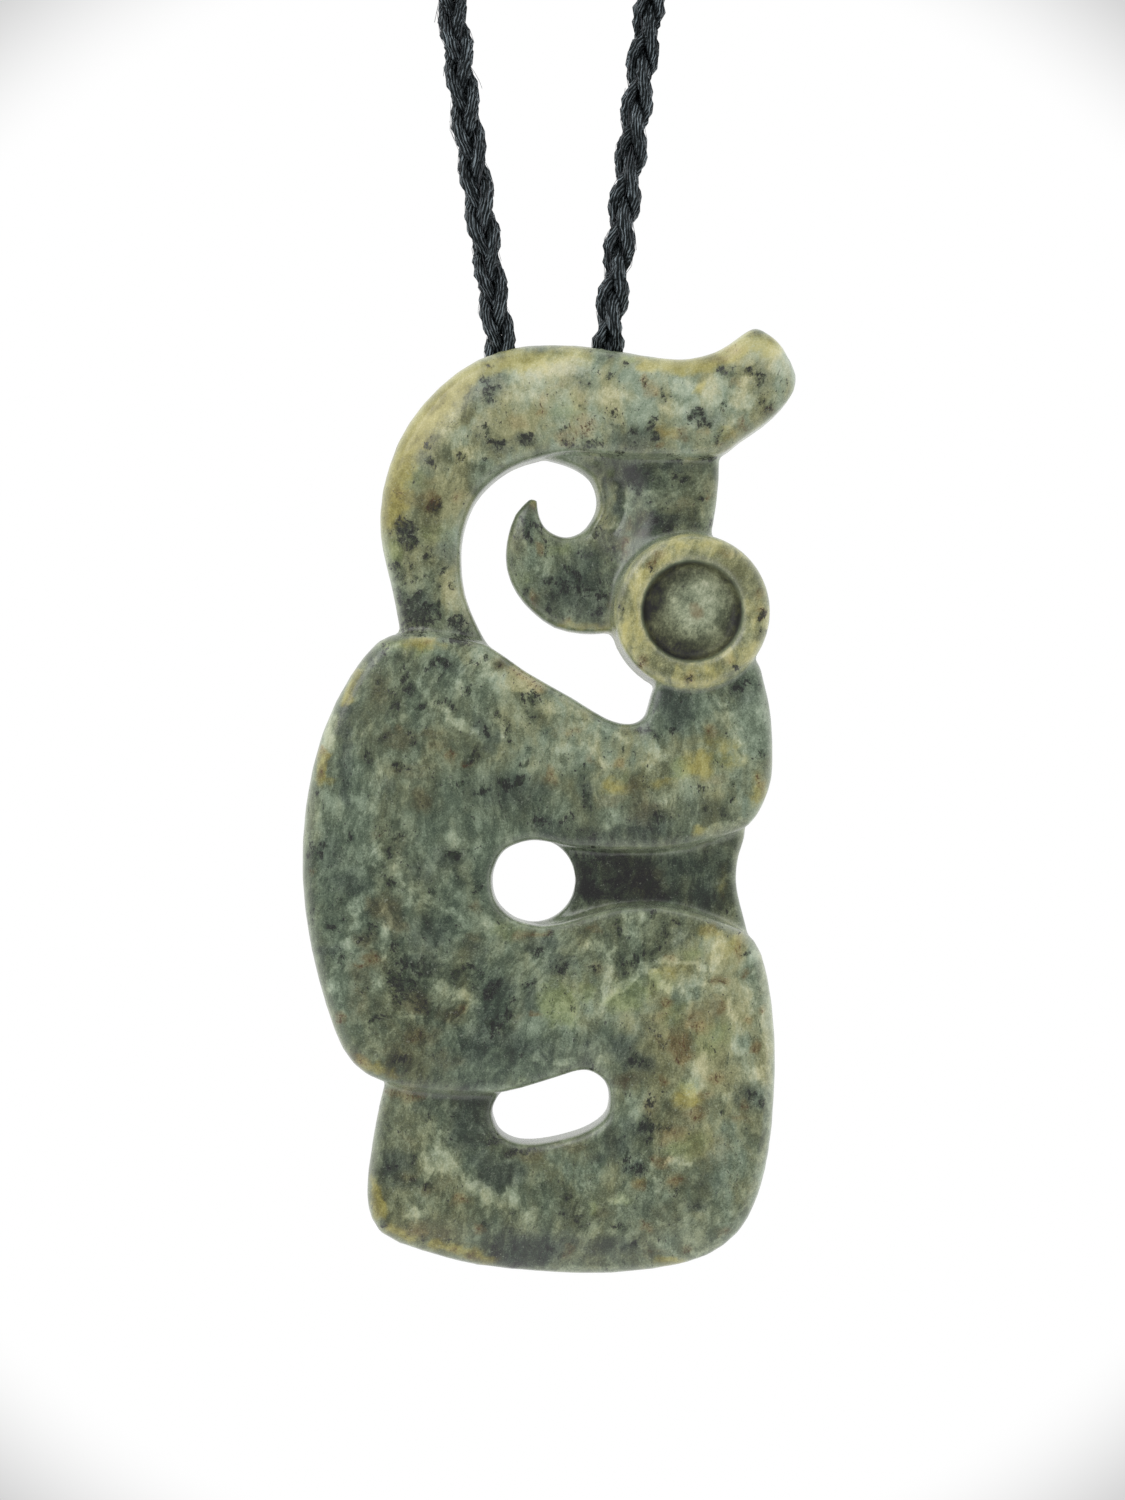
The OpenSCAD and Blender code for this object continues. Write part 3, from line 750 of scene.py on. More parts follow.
# %% Rust
paint("rust", [
    (-9.7, 61.4, 0.5, 0.4), (-7.6, 62, 0.7, 0.6, 0.6), (-0.9, 68.8, 0.35, 0.3),
    (0.9, 66.6, 0.8, 0.6, 0.8), (2.5, 67.6, 0.8, 1.1, 0.7), (2.4, 69.5, 0.7, 0.8, 0.4),
    (-12.3, 62.2, 0.4, 0.4, 0.6), (7, 70.9, 0.4, 0.5), (7.6, 70.2, 0.6, 0.5, 0.7),
    (10.3, 66.4, 0.4, 0.4, 0.8), (11.9, 66.9, 0.5, 0.5, 0.7), (15.1, 67.7, 0.35, 0.6),
    (14.6, 67, 0.8, 0.8, 0.4), (13.4, 66.1, 0.5, 0.3, 0.8), (8.25, 65.8, 0.3, 0.3),
    (13.1, 72.8, 0.6, 0.4, 0.6), (14.2, 73.5, 0.6, 0.35, 0.6), (14.2, 71, 0.7, 0.4, 0.5),
    (17.2, 68.7, 0.6, 0.5, 0.7), (10.2, 61.2, 0.7, 0.7, 0.4), (12.4, 61.9, 0.4, 0.2, 0.7),
    (5.8, 59.7, 0.4, 0.5, 0.6), (-1.2, 57.65, 0.4, 0.4), (-1.6, 53.7, 0.35, 0.5), (-1.9, 61.2, 0.3, 0.3),
    (5.6, 58.3, 0.4, 0.5, 0.8), (5.8, 57.4, 0.4, 0.6, 0.6), (0.9, 52.1, 0.4, 0.2, 0.6),
    (8.1, 57, 0.5, 0.6, 0.7), (7.8, 56.3, 0.4, 0.4), (13.8, 57.4, 0.8, 0.5, 0.5),
    (16.3, 54, 0.5, 0.6, 0.6), (7, 48.6, 0.5, 0.5), (10.6, 47.6, 0.4, 0.5, 0.8), (14, 49, 0.4, 0.4, 0.6),
    (16.4, 52.6, 0.3, 0.5), (11.3, 52.7, 0.5, 0.6, 0.8), (-10, 50.1, 0.5, 0.3, 0.8),
    (-18.4, 41.7, 0.25, 0.2), (-18.4, 39.85, 0.3, 0.2), (-12.8, 43.3, 0.7, 0.4, 0.5),
    (-8.4, 41.3, 0.5, 0.4, 0.9), (-6.9, 40.8, 0.4, 0.3, 0.7), (-0.5, 40, 0.3, 0.5),
    (-0.4, 39.3, 0.7, 0.5, 0.7), (12.6, 43.3, 0.5, 0.6, 0.9), (5, 40.8, 0.4, 0.4, 0.9),
    (3, 41.1, 0.5, 0.4, 0.6), (1.4, 43.2, 0.8, 0.25, 0.5), (16.4, 39.4, 0.3, 0.4, 0.9),
    (-16.8, 20.5, 0.5, 0.5), (-15.4, 17.2, 0.8, 0.4), (-14.5, 25.4, 0.9, 0.5, 0.7),
    (-15.3, 24.8, 0.5, 0.3, 0.8), (-1.5, 20.8, 0.35, 0.35), (-7.6, 21, 0.5, 0.3, 0.6),
    (-19.3, 32.2, 0.4, 0.3, 0.6), (-11, 18.9, 0.9, 0.5, 0.6), (-14.2, 35, 0.5, 0.4, 0.5),
    (-6.2, 29.2, 0.4, 0.6, 0.5), (-6.4, 26.9, 0.7, 0.4, 0.5), (9, 21.5, 0.6, 0.5, 0.9),
    (8.6, 20.6, 1, 0.5, 0.5), (11.4, 20, 0.8, 0.6), (11.2, 20.9, 0.6, 0.4, 0.7),
    (13.4, 21.3, 0.4, 0.5, 0.8), (13.2, 23.4, 0.7, 0.4, 0.9), (15.4, 24, 0.4, 0.4, 0.9),
    (14.7, 26, 0.4, 0.8, 0.7), (12.2, 27.4, 0.7, 0.4, 0.5), (9.9, 18.5, 0.7, 0.8),
    (10.3, 17.2, 0.5, 0.8, 0.8), (15.9, 18, 0.4, 0.5), (15.5, 20.2, 0.4, 0.3, 0.7),
    (16.4, 21.4, 0.25, 0.3, 0.8), (12.8, 15.7, 0.9, 0.4, 0.7), (8.7, 15.6, 0.35, 0.35),
    (3.2, 27.7, 0.4, 0.3, 0.8), (5.8, 15.2, 0.9, 0.5, 0.4), (8.4, 18.8, 0.5, 0.5, 0.5),
    (11.9, 14.5, 0.6, 0.4, 0.7), (11.2, 12.8, 1, 0.6, 0.9), (15.1, 13.5, 0.25, 0.5, 0.8),
    (14.5, 12.4, 0.8, 0.4, 0.6), (9.2, 25.2, 0.4, 0.3, 0.7), (-7.7, 6.1, 0.7, 0.5),
    (-11.6, 8, 0.7, 0.5, 0.5), (-11.8, 10.6, 0.6, 0.6, 0.4), (-10.2, 6.4, 0.5, 0.6, 0.5),
    (-11, 3.4, 0.8, 0.4, 0.6), (-6.1, 3.7, 0.3, 0.5, 0.9), (-7.8, 1.9, 0.4, 0.25, 0.8),
    (-6.3, 1.4, 0.5, 0.3, 0.8), (1.2, 1.9, 0.4, 0.6, 0.8), (8.3, 9.2, 0.8, 0.5),
    (9.5, 7.5, 0.9, 0.4, 0.9), (6.6, 7.3, 0.6, 0.5), (9.4, 11.4, 0.8, 0.8, 0.6),
    (2.8, 9.6, 0.5, 0.4, 0.5), (7.4, 4, 0.5, 0.4, 0.8), (13.5, 3.5, 0.6, 0.4, 0.6),
    (10.6, 2.2, 0.5, 0.3, 0.6), (8.2, 1.8, 0.8, 0.4, 0.5),
], [
    (-4.6, 48.6, -2.6, 47.7, 0.5, 0.6), (-2.6, 47.7, -0.9, 46.6, 0.45, 0.7),
    (-0.9, 69.8, -0.9, 68.8, 0.5, 0.45), (8.4, 66.9, 10.2, 66.9, 0.4, 0.6),
    (-2.8, 26.9, -0.6, 27, 0.3, 0.7), (-13, 14.6, -10.4, 14.3, 0.4, 0.8),
])

# %% [markdown]
# Olive patches are broader and duller than rust: iron that has spread through the stone instead of
# staying in a crack.

# %% Olive
paint("olive", [
    (-12.4, 62, 0.9, 0.6), (-11.2, 61.6, 1.4, 0.5, 0.6), (-9.9, 61.5, 0.9, 0.6),
    (-3, 67.7, 0.8, 0.6, 0.8), (-8.6, 70.4, 0.4, 0.3, 0.6), (0.5, 70.6, 0.35, 0.35, 0.6),
    (-9.9, 63.2, 0.7, 0.4, 0.5), (7, 60.3, 0.6, 0.5, 0.7), (6.9, 59.2, 0.5, 0.5, 0.7),
    (5.2, 58.4, 0.8, 0.5, 0.7), (12.4, 62.4, 0.3, 0.8, 0.4), (16.2, 50.6, 0.4, 0.7, 0.7),
    (-10.6, 37.8, 0.7, 1, 0.9), (-12.2, 42.6, 1.6, 0.7, 0.7), (-13.6, 46.5, 0.8, 1.4, 0.5),
    (-12.4, 40.3, 0.8, 0.5, 0.6), (-9.8, 43, 0.9, 0.4, 0.6), (-9, 42.2, 0.8, 0.5, 0.5),
    (-11, 40, 1.6, 0.8, 0.4), (6, 38.8, 1.2, 0.8, 0.8), (4.3, 37.6, 1, 0.6, 0.6), (7, 37, 1.4, 1.2, 0.6),
    (12.5, 39.6, 1.2, 0.4, 0.5), (0.9, 43.4, 0.9, 0.5, 0.4), (-13.2, 29.2, 1.2, 1),
    (-12.6, 27.8, 0.9, 0.7, 0.9), (-14.4, 29.6, 0.6, 0.6, 0.8), (-15, 26.6, 0.9, 0.6, 0.7),
    (-14.4, 25.2, 1.2, 0.8, 0.6), (-15.5, 24, 1, 1.2, 0.6), (-11, 21.8, 1.2, 0.8, 0.8),
    (-12.2, 34, 0.6, 1.2, 0.4), (-15.6, 21.8, 0.8, 1.4, 0.5), (-12.5, 17.5, 1.2, 0.7, 0.7),
    (-10.5, 19, 1.5, 1, 0.6), (-8.5, 20.6, 1, 0.6, 0.6), (-8.5, 17.2, 1.5, 0.8, 0.5),
    (-3, 21, 0.8, 1.2, 0.5), (-7, 25.8, 0.8, 0.8, 0.4), (11.4, 20.4, 1.4, 1.2, 0.9),
    (12.8, 21.2, 0.9, 0.8, 0.8), (9.9, 18.8, 0.9, 1), (10.2, 17.6, 0.7, 0.7, 0.9),
    (15.5, 20.3, 0.5, 0.4, 0.8), (3.6, 24.4, 0.8, 0.4, 0.6), (15.9, 18.2, 0.5, 0.7, 0.7),
    (7.6, 13.4, 0.8, 1, 0.6), (5.6, 15.6, 1, 0.5, 0.8), (10.8, 13.4, 1.5, 1.2, 0.5),
    (-11, 3.6, 1.4, 0.6, 0.7), (-9.2, 3.2, 1, 0.6, 0.6), (-10, 6.7, 1, 0.6, 0.5),
    (-2.2, 9.6, 1.4, 0.5, 0.6), (-8.8, 7.4, 0.8, 0.6, 0.4), (9.8, 11.4, 1.6, 1, 0.7),
    (11.8, 10.2, 1.6, 1, 0.6), (13, 10, 1, 1.2, 0.5), (9.3, 7.4, 1.2, 0.7, 0.6), (8.6, 5.4, 1, 0.6, 0.4),
    (3.8, 4.8, 0.8, 0.5, 0.5), (7.5, 31.2, 1.4, 1.2, 0.7), (1, 10.4, 2, 0.3, 0.6),
])

# %% [markdown]
# Slate is the cool grey of the deeper stone, in soft clouds about the jaw, the torso and the foot.

# %% Slate
paint("slate", [
    (-11, 53.2, 1.4, 1.2, 0.9), (-8.6, 57.2, 1, 1.2, 0.6), (-7.6, 51.6, 1, 0.9, 0.7),
    (-11.8, 58.8, 0.9, 1, 0.6), (-5.2, 70.4, 1.3, 1.4, 0.8), (-5.6, 67.2, 1.2, 1.2, 0.5),
    (-4.2, 65.7, 1, 0.6, 0.7), (-9.8, 64.4, 1.2, 0.9, 0.4), (-2.4, 66.4, 1, 0.5, 0.6),
    (2, 71.3, 1.2, 1.2, 0.5), (6.6, 66.6, 1.4, 1), (4.7, 67.2, 0.8, 1.2, 0.5), (16.6, 71.3, 1, 1.1, 0.6),
    (11.6, 68.2, 1.2, 1, 0.7), (12.7, 67.9, 0.9, 0.9, 0.6), (8.4, 69.8, 0.6, 0.8, 0.4),
    (8.8, 60, 1.6, 0.6, 0.8), (9.6, 64.5, 1.4, 0.5, 0.7), (6.4, 63.6, 1, 1.2, 0.7),
    (11.2, 59.6, 1, 0.4, 0.5), (8.5, 61.5, 1, 0.8, 0.4), (1.8, 54.6, 2.6, 1.8, 0.9),
    (3.8, 53.4, 1.2, 1.4, 0.9), (2.4, 56.6, 1.4, 1, 0.5), (-0.6, 55, 1, 0.8, 0.7),
    (-8.5, 48.5, 1.2, 0.7, 0.5), (-3.5, 38.6, 3, 1.2, 0.6), (-13.5, 39, 0.7, 0.7, 0.5),
    (9.5, 45.5, 1.5, 1.2), (10.4, 45, 0.6, 1.2, 0.8), (9.6, 43.8, 1, 0.8, 0.8),
    (7.3, 35.9, 1.8, 1.8, 0.8), (-0.5, 35.6, 1.8, 0.8, 0.6), (2.3, 38.4, 0.6, 1, 0.7),
    (15, 46.2, 1.2, 1.4, 0.5), (11.5, 37.4, 1.6, 1.2, 0.4), (5, 34.8, 2, 0.8, 0.5),
    (-10, 26.8, 1.8, 1.6, 0.7), (-10.5, 25, 1.6, 1.2, 0.7), (-18, 25.8, 1.2, 0.6, 0.8),
    (-17.8, 33.6, 1.2, 1.6, 0.5), (-16.4, 31.2, 1.6, 1, 0.6), (-5.8, 18.6, 1.4, 1.6, 0.8),
    (-3.4, 18.6, 1.4, 1.2, 0.8), (-5, 20.5, 1.2, 1, 0.7), (-1.5, 18.2, 1.5, 0.8, 0.6),
    (-4.5, 23, 1.4, 1.2, 0.6), (-8.5, 33.2, 1.6, 1, 0.6), (-10.5, 32, 1.2, 1, 0.5),
    (-0.8, 26.2, 1.4, 0.6, 0.8), (-6, 25.5, 0.8, 1.2, 0.5), (0.6, 24.8, 1.4, 0.8, 0.7),
    (5.4, 18.2, 1.2, 1, 0.9), (6.8, 17, 1.4, 0.9, 0.9), (5.8, 15.4, 1.6, 0.6, 0.6),
    (2.6, 17.6, 0.7, 1.2, 0.4), (7, 19.4, 1.2, 0.8, 0.4), (10, 26.8, 0.8, 0.8, 0.5),
    (15.5, 14.4, 1.4, 1.2, 0.6), (-1.8, 22, 0.8, 1.6, 0.6), (-6.2, 12.6, 2.2, 1.8),
    (-6.8, 10.9, 1.8, 1, 0.8), (-4.4, 8, 1.8, 1.2), (-5.6, 9, 1.2, 0.8, 0.7), (-12.6, 9, 1.4, 0.8, 0.7),
    (-13.4, 8.2, 0.8, 0.6, 0.7), (-12, 7.4, 1.2, 0.6, 0.6), (-1.5, 2.2, 2.4, 1.2, 0.9),
    (-3, 1, 1.6, 0.6, 0.9), (-3.6, 3.2, 1.2, 0.8, 0.6), (-10.2, 13.2, 1, 0.8, 0.4),
    (1, 2.8, 1.4, 0.8, 0.5), (5, 10.4, 1.2, 1.2, 0.7), (6.6, 11.8, 1.4, 0.8, 0.6),
    (6.3, 8.6, 0.8, 0.6, 0.8), (3.4, 9.4, 1, 0.5, 0.6), (11, 5.6, 1, 0.5, 0.6), (12.4, 7.6, 1.4, 1, 0.4),
    (4.5, 2.2, 2.6, 0.8, 0.6), (1.2, 5, 0.8, 0.8, 0.5), (12, 30.4, 1.2, 1, 0.8),
], [
    (-16.7, 45.3, -16.6, 42, 0.4, 0.9), (-16.6, 42, -16.4, 37.5, 0.4, 0.7),
    (-14.9, 50.2, -14.7, 48.6, 0.3, 0.8), (-6, 43.8, -5, 42.4, 0.7, 0.6),
    (-2.1, 60.2, -1.9, 58, 0.4, 0.6), (4, 63.4, 3.9, 61.6, 0.2, 0.8), (5.2, 63.4, 5.1, 60.9, 0.25),
])

# %% [markdown]
# Black-green crystals gather in small ragged clots. They are what the eye reads first in this stone, so
# they get the most dabs, and the shader tears their borders the most.

# %% Dark clots
paint("dark", [
    (-5.2, 72.45, 0.3, 0.25), (-5.65, 71.25, 0.4, 0.35), (-5.2, 70.4, 0.4, 0.35),
    (-4.65, 70.4, 0.35, 0.3), (-5.1, 69.7, 0.5, 0.5, 0.8), (-5.45, 67.55, 0.3, 0.25),
    (-5.1, 66.9, 0.3, 0.6, 0.7), (-4.3, 66.1, 0.6, 0.3), (-4.3, 65.5, 0.5, 0.3, 0.6),
    (-2.2, 66.4, 0.55, 0.45, 0.9), (-10.2, 65.95, 0.3, 0.35), (-9.8, 64.7, 0.3, 0.25),
    (-7.75, 64.9, 0.3, 0.35), (-9.5, 66.5, 0.5, 0.2, 0.6), (-9.6, 61.2, 0.6, 0.5, 0.9),
    (-12.4, 61.9, 0.4, 0.4, 0.6), (-11.3, 59.4, 0.7, 0.35, 0.8), (-13.3, 59.1, 0.2, 0.3, 0.6),
    (-12.7, 58.4, 0.2, 0.2, 0.7), (-8.1, 54.9, 0.3, 0.3), (-9.9, 57.3, 0.4, 0.6, 0.8),
    (-10.3, 57.9, 0.3, 0.3, 0.7), (-8.8, 56.2, 0.4, 0.5), (-11.3, 56.5, 0.25, 0.2, 0.8),
    (-12.9, 56.3, 0.3, 0.3, 0.8), (-12.3, 55.4, 0.4, 0.5, 0.7), (-10.1, 55.5, 0.4, 0.25, 0.8),
    (-9.5, 55.2, 0.25, 0.2), (-11.1, 55.6, 0.15, 0.15, 0.8), (-9, 54.5, 0.15, 0.15, 0.9),
    (-10.7, 54.2, 0.5, 0.4), (-11.9, 53.5, 0.5, 0.3), (-12.2, 53, 0.4, 0.6, 0.8), (-10.4, 52.4, 0.9, 0.9),
    (-9.4, 52.6, 0.3, 0.4), (-9.2, 53.4, 0.3, 0.5, 0.7), (-11.7, 51.5, 0.5, 0.7),
    (-10.7, 51.2, 0.6, 0.4, 0.8), (-7.6, 51.9, 0.8, 0.7, 0.8), (-7.2, 50.9, 0.8, 0.6, 0.9),
    (-12.4, 54, 0.2, 0.8, 0.7), (-5.4, 64.7, 0.3, 0.3, 0.7), (0.7, 67.05, 0.3, 0.25),
    (1.1, 66.3, 0.5, 0.3, 0.9), (2.2, 71.1, 0.3, 0.3, 0.8), (2.85, 71, 0.25, 0.3, 0.8),
    (4.5, 71.4, 0.35, 0.45), (5.7, 72.4, 0.3, 0.25), (4.6, 73.4, 0.3, 0.2, 0.7),
    (7.05, 70.8, 0.35, 0.3, 0.6), (8.5, 69.9, 0.25, 0.5, 0.6), (11.25, 68.4, 0.55, 0.75),
    (11.5, 67.6, 0.4, 0.35, 0.7), (12.3, 67.6, 0.4, 0.3, 0.8), (13.3, 69.25, 0.5, 0.3, 0.8),
    (13, 66.6, 0.3, 0.5, 0.8), (13.3, 71.8, 0.4, 0.25), (14.3, 72, 0.4, 0.2, 0.7),
    (15.2, 73.3, 0.25, 0.2), (15.4, 71.9, 0.25, 0.25), (16.3, 71.3, 0.45, 0.6, 0.9),
    (16.7, 71.4, 0.3, 0.3, 0.8), (16.2, 69.6, 0.4, 0.5, 0.6), (17, 68.8, 0.6, 0.5, 0.8),
    (18.4, 71.2, 0.2, 0.3, 0.8), (7.8, 67.5, 0.3, 0.6), (7.9, 66.7, 0.3, 0.5, 0.8),
    (6.3, 67.2, 0.5, 0.4, 0.9), (4.9, 68.6, 0.25, 0.3, 0.7), (3, 66, 1.2, 0.2, 0.7),
    (5.4, 65.6, 0.7, 0.2, 0.7), (6.2, 63.7, 0.55, 0.7), (6.6, 62.7, 0.4, 0.5, 0.9), (10, 63.7, 0.6, 0.25),
    (10.6, 63.7, 0.3, 0.4, 0.9), (12, 65, 0.7, 0.2, 0.8), (9.9, 65, 0.6, 0.2, 0.8),
    (11.7, 61.95, 0.4, 0.25, 0.9), (12.5, 60.05, 0.25, 0.25), (7.7, 61.2, 0.25, 0.4, 0.7),
    (8.6, 60.8, 0.3, 0.3, 0.6), (9, 59.4, 0.6, 0.3), (7.4, 59.6, 0.25, 0.3, 0.8),
    (8.2, 60.3, 0.6, 0.3, 0.5), (3.6, 65.2, 0.7, 0.2, 0.6), (-3.3, 58.7, 0.3, 0.2, 0.8),
    (-3.2, 56.9, 0.3, 0.2, 0.8), (-0.5, 57.7, 0.25, 0.3, 0.7), (1, 56.2, 0.3, 0.5),
    (1.9, 55.5, 0.4, 0.6, 0.9), (2.6, 57.3, 0.6, 0.3, 0.6), (-0.5, 55.2, 0.6, 0.4),
    (0.5, 54.6, 0.8, 0.6, 0.8), (2.2, 54.6, 0.9, 0.6, 0.7), (3.6, 54.2, 0.8, 0.6, 0.7),
    (-0.4, 53.2, 0.3, 0.4, 0.9), (-2.2, 54.25, 0.2, 0.2), (3.2, 52.6, 0.8, 0.5, 0.6),
    (4.7, 58.1, 0.3, 0.3, 0.9), (5.6, 56.9, 0.5, 0.3, 0.7), (7.85, 56, 0.25, 0.2), (5.45, 52.8, 0.2, 0.2),
    (16.45, 52.5, 0.2, 0.4), (16.5, 51.3, 0.2, 0.2, 0.8), (6.9, 48.4, 0.2, 0.3), (10.6, 47.5, 0.2, 0.3),
    (14.5, 48.2, 0.25, 0.25), (10.1, 54.8, 0.25, 0.2), (9, 48.6, 0.25, 0.25, 0.6), (-8.9, 48.7, 0.5, 0.4),
    (-9.8, 48.5, 0.4, 0.3, 0.8), (-12, 48.2, 0.5, 0.3, 0.7), (-12, 47.5, 0.25, 0.5),
    (-9.3, 47.6, 0.5, 0.3, 0.6), (-11.3, 46.5, 0.45, 0.5), (-12.7, 46.3, 0.4, 0.6, 0.6),
    (-12.5, 45.2, 0.4, 0.5), (-12.6, 44.4, 0.25, 0.5, 0.9), (-10.5, 45.2, 0.5, 0.35, 0.9),
    (-9.1, 45.6, 0.5, 0.25, 0.8), (-8.2, 45.6, 0.35, 0.4), (-7.9, 45, 0.4, 0.3, 0.8),
    (-6.8, 46.4, 0.4, 0.6, 0.9), (-13.9, 47.1, 0.3, 0.4, 0.7), (-15.3, 47.6, 0.3, 0.4, 0.6),
    (-4.35, 44.4, 0.3, 0.45), (-4, 43.4, 0.2, 0.4, 0.8), (-5.4, 43.3, 0.4, 0.5), (-3.6, 42.4, 0.25, 0.3),
    (-6.2, 41.6, 0.3, 0.6, 0.9), (-6.7, 41, 0.5, 0.3, 0.7), (-14.7, 41.2, 0.3, 0.9, 0.8),
    (-12.3, 40.4, 0.7, 0.4, 0.9), (-11.2, 42.5, 0.4, 0.7, 0.6), (-13.6, 42.8, 0.6, 0.3, 0.5),
    (-2.3, 40.8, 0.35, 0.25, 0.8), (-2, 41.9, 0.2, 0.3, 0.8), (-0.8, 43.05, 0.25, 0.25),
    (-1.9, 44.3, 0.6, 0.5, 0.6), (-2.3, 45.5, 0.3, 0.5, 0.7), (-1.5, 46, 0.5, 0.4, 0.8),
    (-3.9, 39, 0.5, 0.4, 0.9), (-2.8, 39.2, 0.4, 0.3), (-5.6, 38.6, 0.8, 0.3, 0.9),
    (-7.6, 39.2, 0.7, 0.3, 0.6), (-5.4, 49.1, 0.3, 0.2), (-4.6, 48.3, 0.25, 0.2),
    (-18.9, 38.4, 0.3, 0.3, 0.7), (6.8, 43.25, 0.25, 0.2), (8, 42.7, 0.3, 0.3), (9, 43.3, 0.5, 0.3, 0.7),
    (7.4, 43.2, 0.9, 0.4, 0.6), (5.3, 41.8, 0.2, 0.2), (2.5, 40.15, 0.3, 0.3),
    (2.3, 38.1, 0.35, 0.45, 0.9), (2.6, 37.5, 0.5, 0.3, 0.6), (6.5, 38.65, 0.3, 0.25, 0.9),
    (7.4, 39.6, 0.2, 0.8, 0.6), (12, 37.1, 0.3, 0.25), (13.5, 36.8, 0.3, 0.4),
    (14.3, 38, 0.35, 0.25, 0.9), (14.5, 39.4, 0.25, 0.2, 0.7), (11.8, 38.8, 0.6, 0.4, 0.6),
    (15.8, 41, 0.25, 0.3, 0.9), (16.4, 41.5, 0.3, 0.8, 0.5), (14.5, 46.7, 0.5, 0.5, 0.8),
    (15, 47.2, 0.4, 0.3, 0.6), (10, 35.4, 0.5, 0.3, 0.6), (8.3, 36.4, 0.8, 0.6, 0.6),
    (0.9, 36.3, 0.8, 0.5, 0.7), (-1.3, 36, 0.6, 0.5, 0.9), (3.4, 35, 0.5, 0.5, 0.6),
    (-13.2, 33.5, 0.4, 0.6), (-12.5, 34.8, 0.5, 0.25, 0.7), (-13.1, 31.4, 0.35, 0.6, 0.9),
    (-15.6, 32.6, 0.25, 0.3, 0.9), (-16.1, 34.8, 0.2, 0.3, 0.8), (-17.2, 29.8, 0.35, 0.2),
    (-19.2, 28.1, 0.2, 0.2, 0.9), (-19.4, 29, 0.2, 0.4, 0.7), (-19.2, 33.8, 0.25, 0.5, 0.8),
    (-18.4, 33.6, 0.4, 0.8, 0.7), (-17.8, 27.7, 0.35, 0.3, 0.9), (-16.8, 28.2, 0.2, 0.4, 0.8),
    (-15.1, 26.6, 0.3, 0.3, 0.9), (-14.6, 27.4, 0.3, 0.5, 0.8), (-17, 24.8, 0.3, 0.4, 0.9),
    (-12.5, 26.4, 0.4, 0.4, 0.9), (-12, 24.9, 0.4, 0.7), (-12.6, 23.6, 0.6, 1, 0.8),
    (-12.6, 22, 0.3, 0.8, 0.9), (-11.6, 22.8, 1, 1, 0.6), (-10.4, 22, 1, 0.7, 0.6),
    (-13.9, 20.3, 0.7, 0.25, 0.8), (-14.5, 19.3, 0.25, 0.4, 0.8), (-12.1, 17.4, 0.6, 0.3, 0.9),
    (-8, 33.4, 0.7, 0.4, 0.9), (-9.5, 30.5, 0.4, 0.3, 0.9), (-6.1, 31, 0.25, 0.5, 0.9),
    (-7.6, 27.8, 0.3, 0.3, 0.6), (-6.7, 24.5, 0.5, 0.3, 0.9), (-7.5, 24.2, 0.25, 0.5, 0.8),
    (-6.1, 23.9, 0.4, 0.6, 0.8), (-5, 22.4, 0.4, 0.7), (-4.8, 23.4, 0.6, 0.4, 0.8), (-3.7, 21, 0.35, 0.9),
    (-3.3, 22.2, 0.4, 0.4, 0.8), (-1.5, 23.4, 0.3, 0.25), (-2.5, 23.2, 0.8, 0.25, 0.7),
    (-4.4, 19.8, 0.5, 1, 0.8), (-2.8, 17.4, 0.3, 0.25, 0.9), (-7.9, 20.9, 0.4, 0.3, 0.6),
    (-10.5, 18.8, 0.6, 0.5, 0.6), (-10.6, 24.4, 1.2, 1, 0.5), (-1.6, 25.8, 0.4, 0.3, 0.7),
    (-0.3, 27, 0.2, 0.2), (5.2, 27.8, 0.3, 0.6), (5.5, 26.9, 0.4, 0.4, 0.8), (6.5, 25.1, 0.3, 0.5),
    (5.6, 25, 0.8, 0.6, 0.8), (5.6, 24, 0.5, 0.5, 0.7), (7, 26, 0.5, 0.25, 0.8),
    (3.4, 24.4, 0.6, 0.2, 0.8), (9, 27.4, 0.3, 0.8, 0.7), (9.8, 28, 0.25, 0.3, 0.8),
    (7.8, 28.8, 0.3, 0.4, 0.7), (8.3, 26, 0.8, 0.3, 0.7), (1.9, 25.4, 0.4, 0.3, 0.7),
    (0.5, 24.4, 0.8, 0.6, 0.6), (1.3, 21.4, 0.3, 0.25, 0.9), (6.3, 17.2, 0.5, 0.6, 0.8),
    (7.2, 17.2, 0.6, 0.4, 0.7), (3.2, 16.65, 0.4, 0.2), (8.4, 18.8, 0.5, 0.5, 0.6), (14.8, 27, 0.2, 0.2),
    (15.4, 25.8, 0.3, 0.2, 0.9), (15.6, 14.4, 0.5, 0.4, 0.8), (16.4, 13.8, 0.3, 0.5, 0.8),
    (7.6, 13.4, 0.6, 0.8, 0.7), (13.2, 13.1, 0.3, 0.3, 0.7), (-13.1, 8.5, 0.35, 0.3, 0.9),
    (-11.5, 7.8, 0.5, 0.5, 0.8), (-11.3, 9.4, 0.3, 0.5, 0.8), (-10.2, 7, 0.7, 0.4, 0.8),
    (-12, 11.4, 0.3, 0.4, 0.6), (-10, 12.5, 0.3, 0.4, 0.7), (-4.8, 10.8, 0.6, 0.6, 0.6),
    (-3.4, 9.6, 0.5, 0.4, 0.8), (-2.4, 9.8, 0.8, 0.3, 0.9), (-3.1, 5.3, 0.3, 0.3), (-13.8, 3.8, 0.3, 0.3),
    (-10.7, 3, 0.3, 0.4, 0.7), (-8.4, 2.5, 0.5, 0.3, 0.7), (-4.6, 2.2, 0.3, 0.5, 0.7),
    (-5.6, 4, 0.3, 0.4, 0.6), (-0.3, 2.3, 0.2, 0.2, 0.9), (-3.2, 0.8, 0.7, 0.4, 0.7),
    (1.1, 6.4, 0.5, 0.3, 0.9), (0.7, 4.7, 0.35, 0.3), (1.8, 4.4, 0.3, 0.6, 0.8), (3, 7.6, 0.2, 0.2, 0.9),
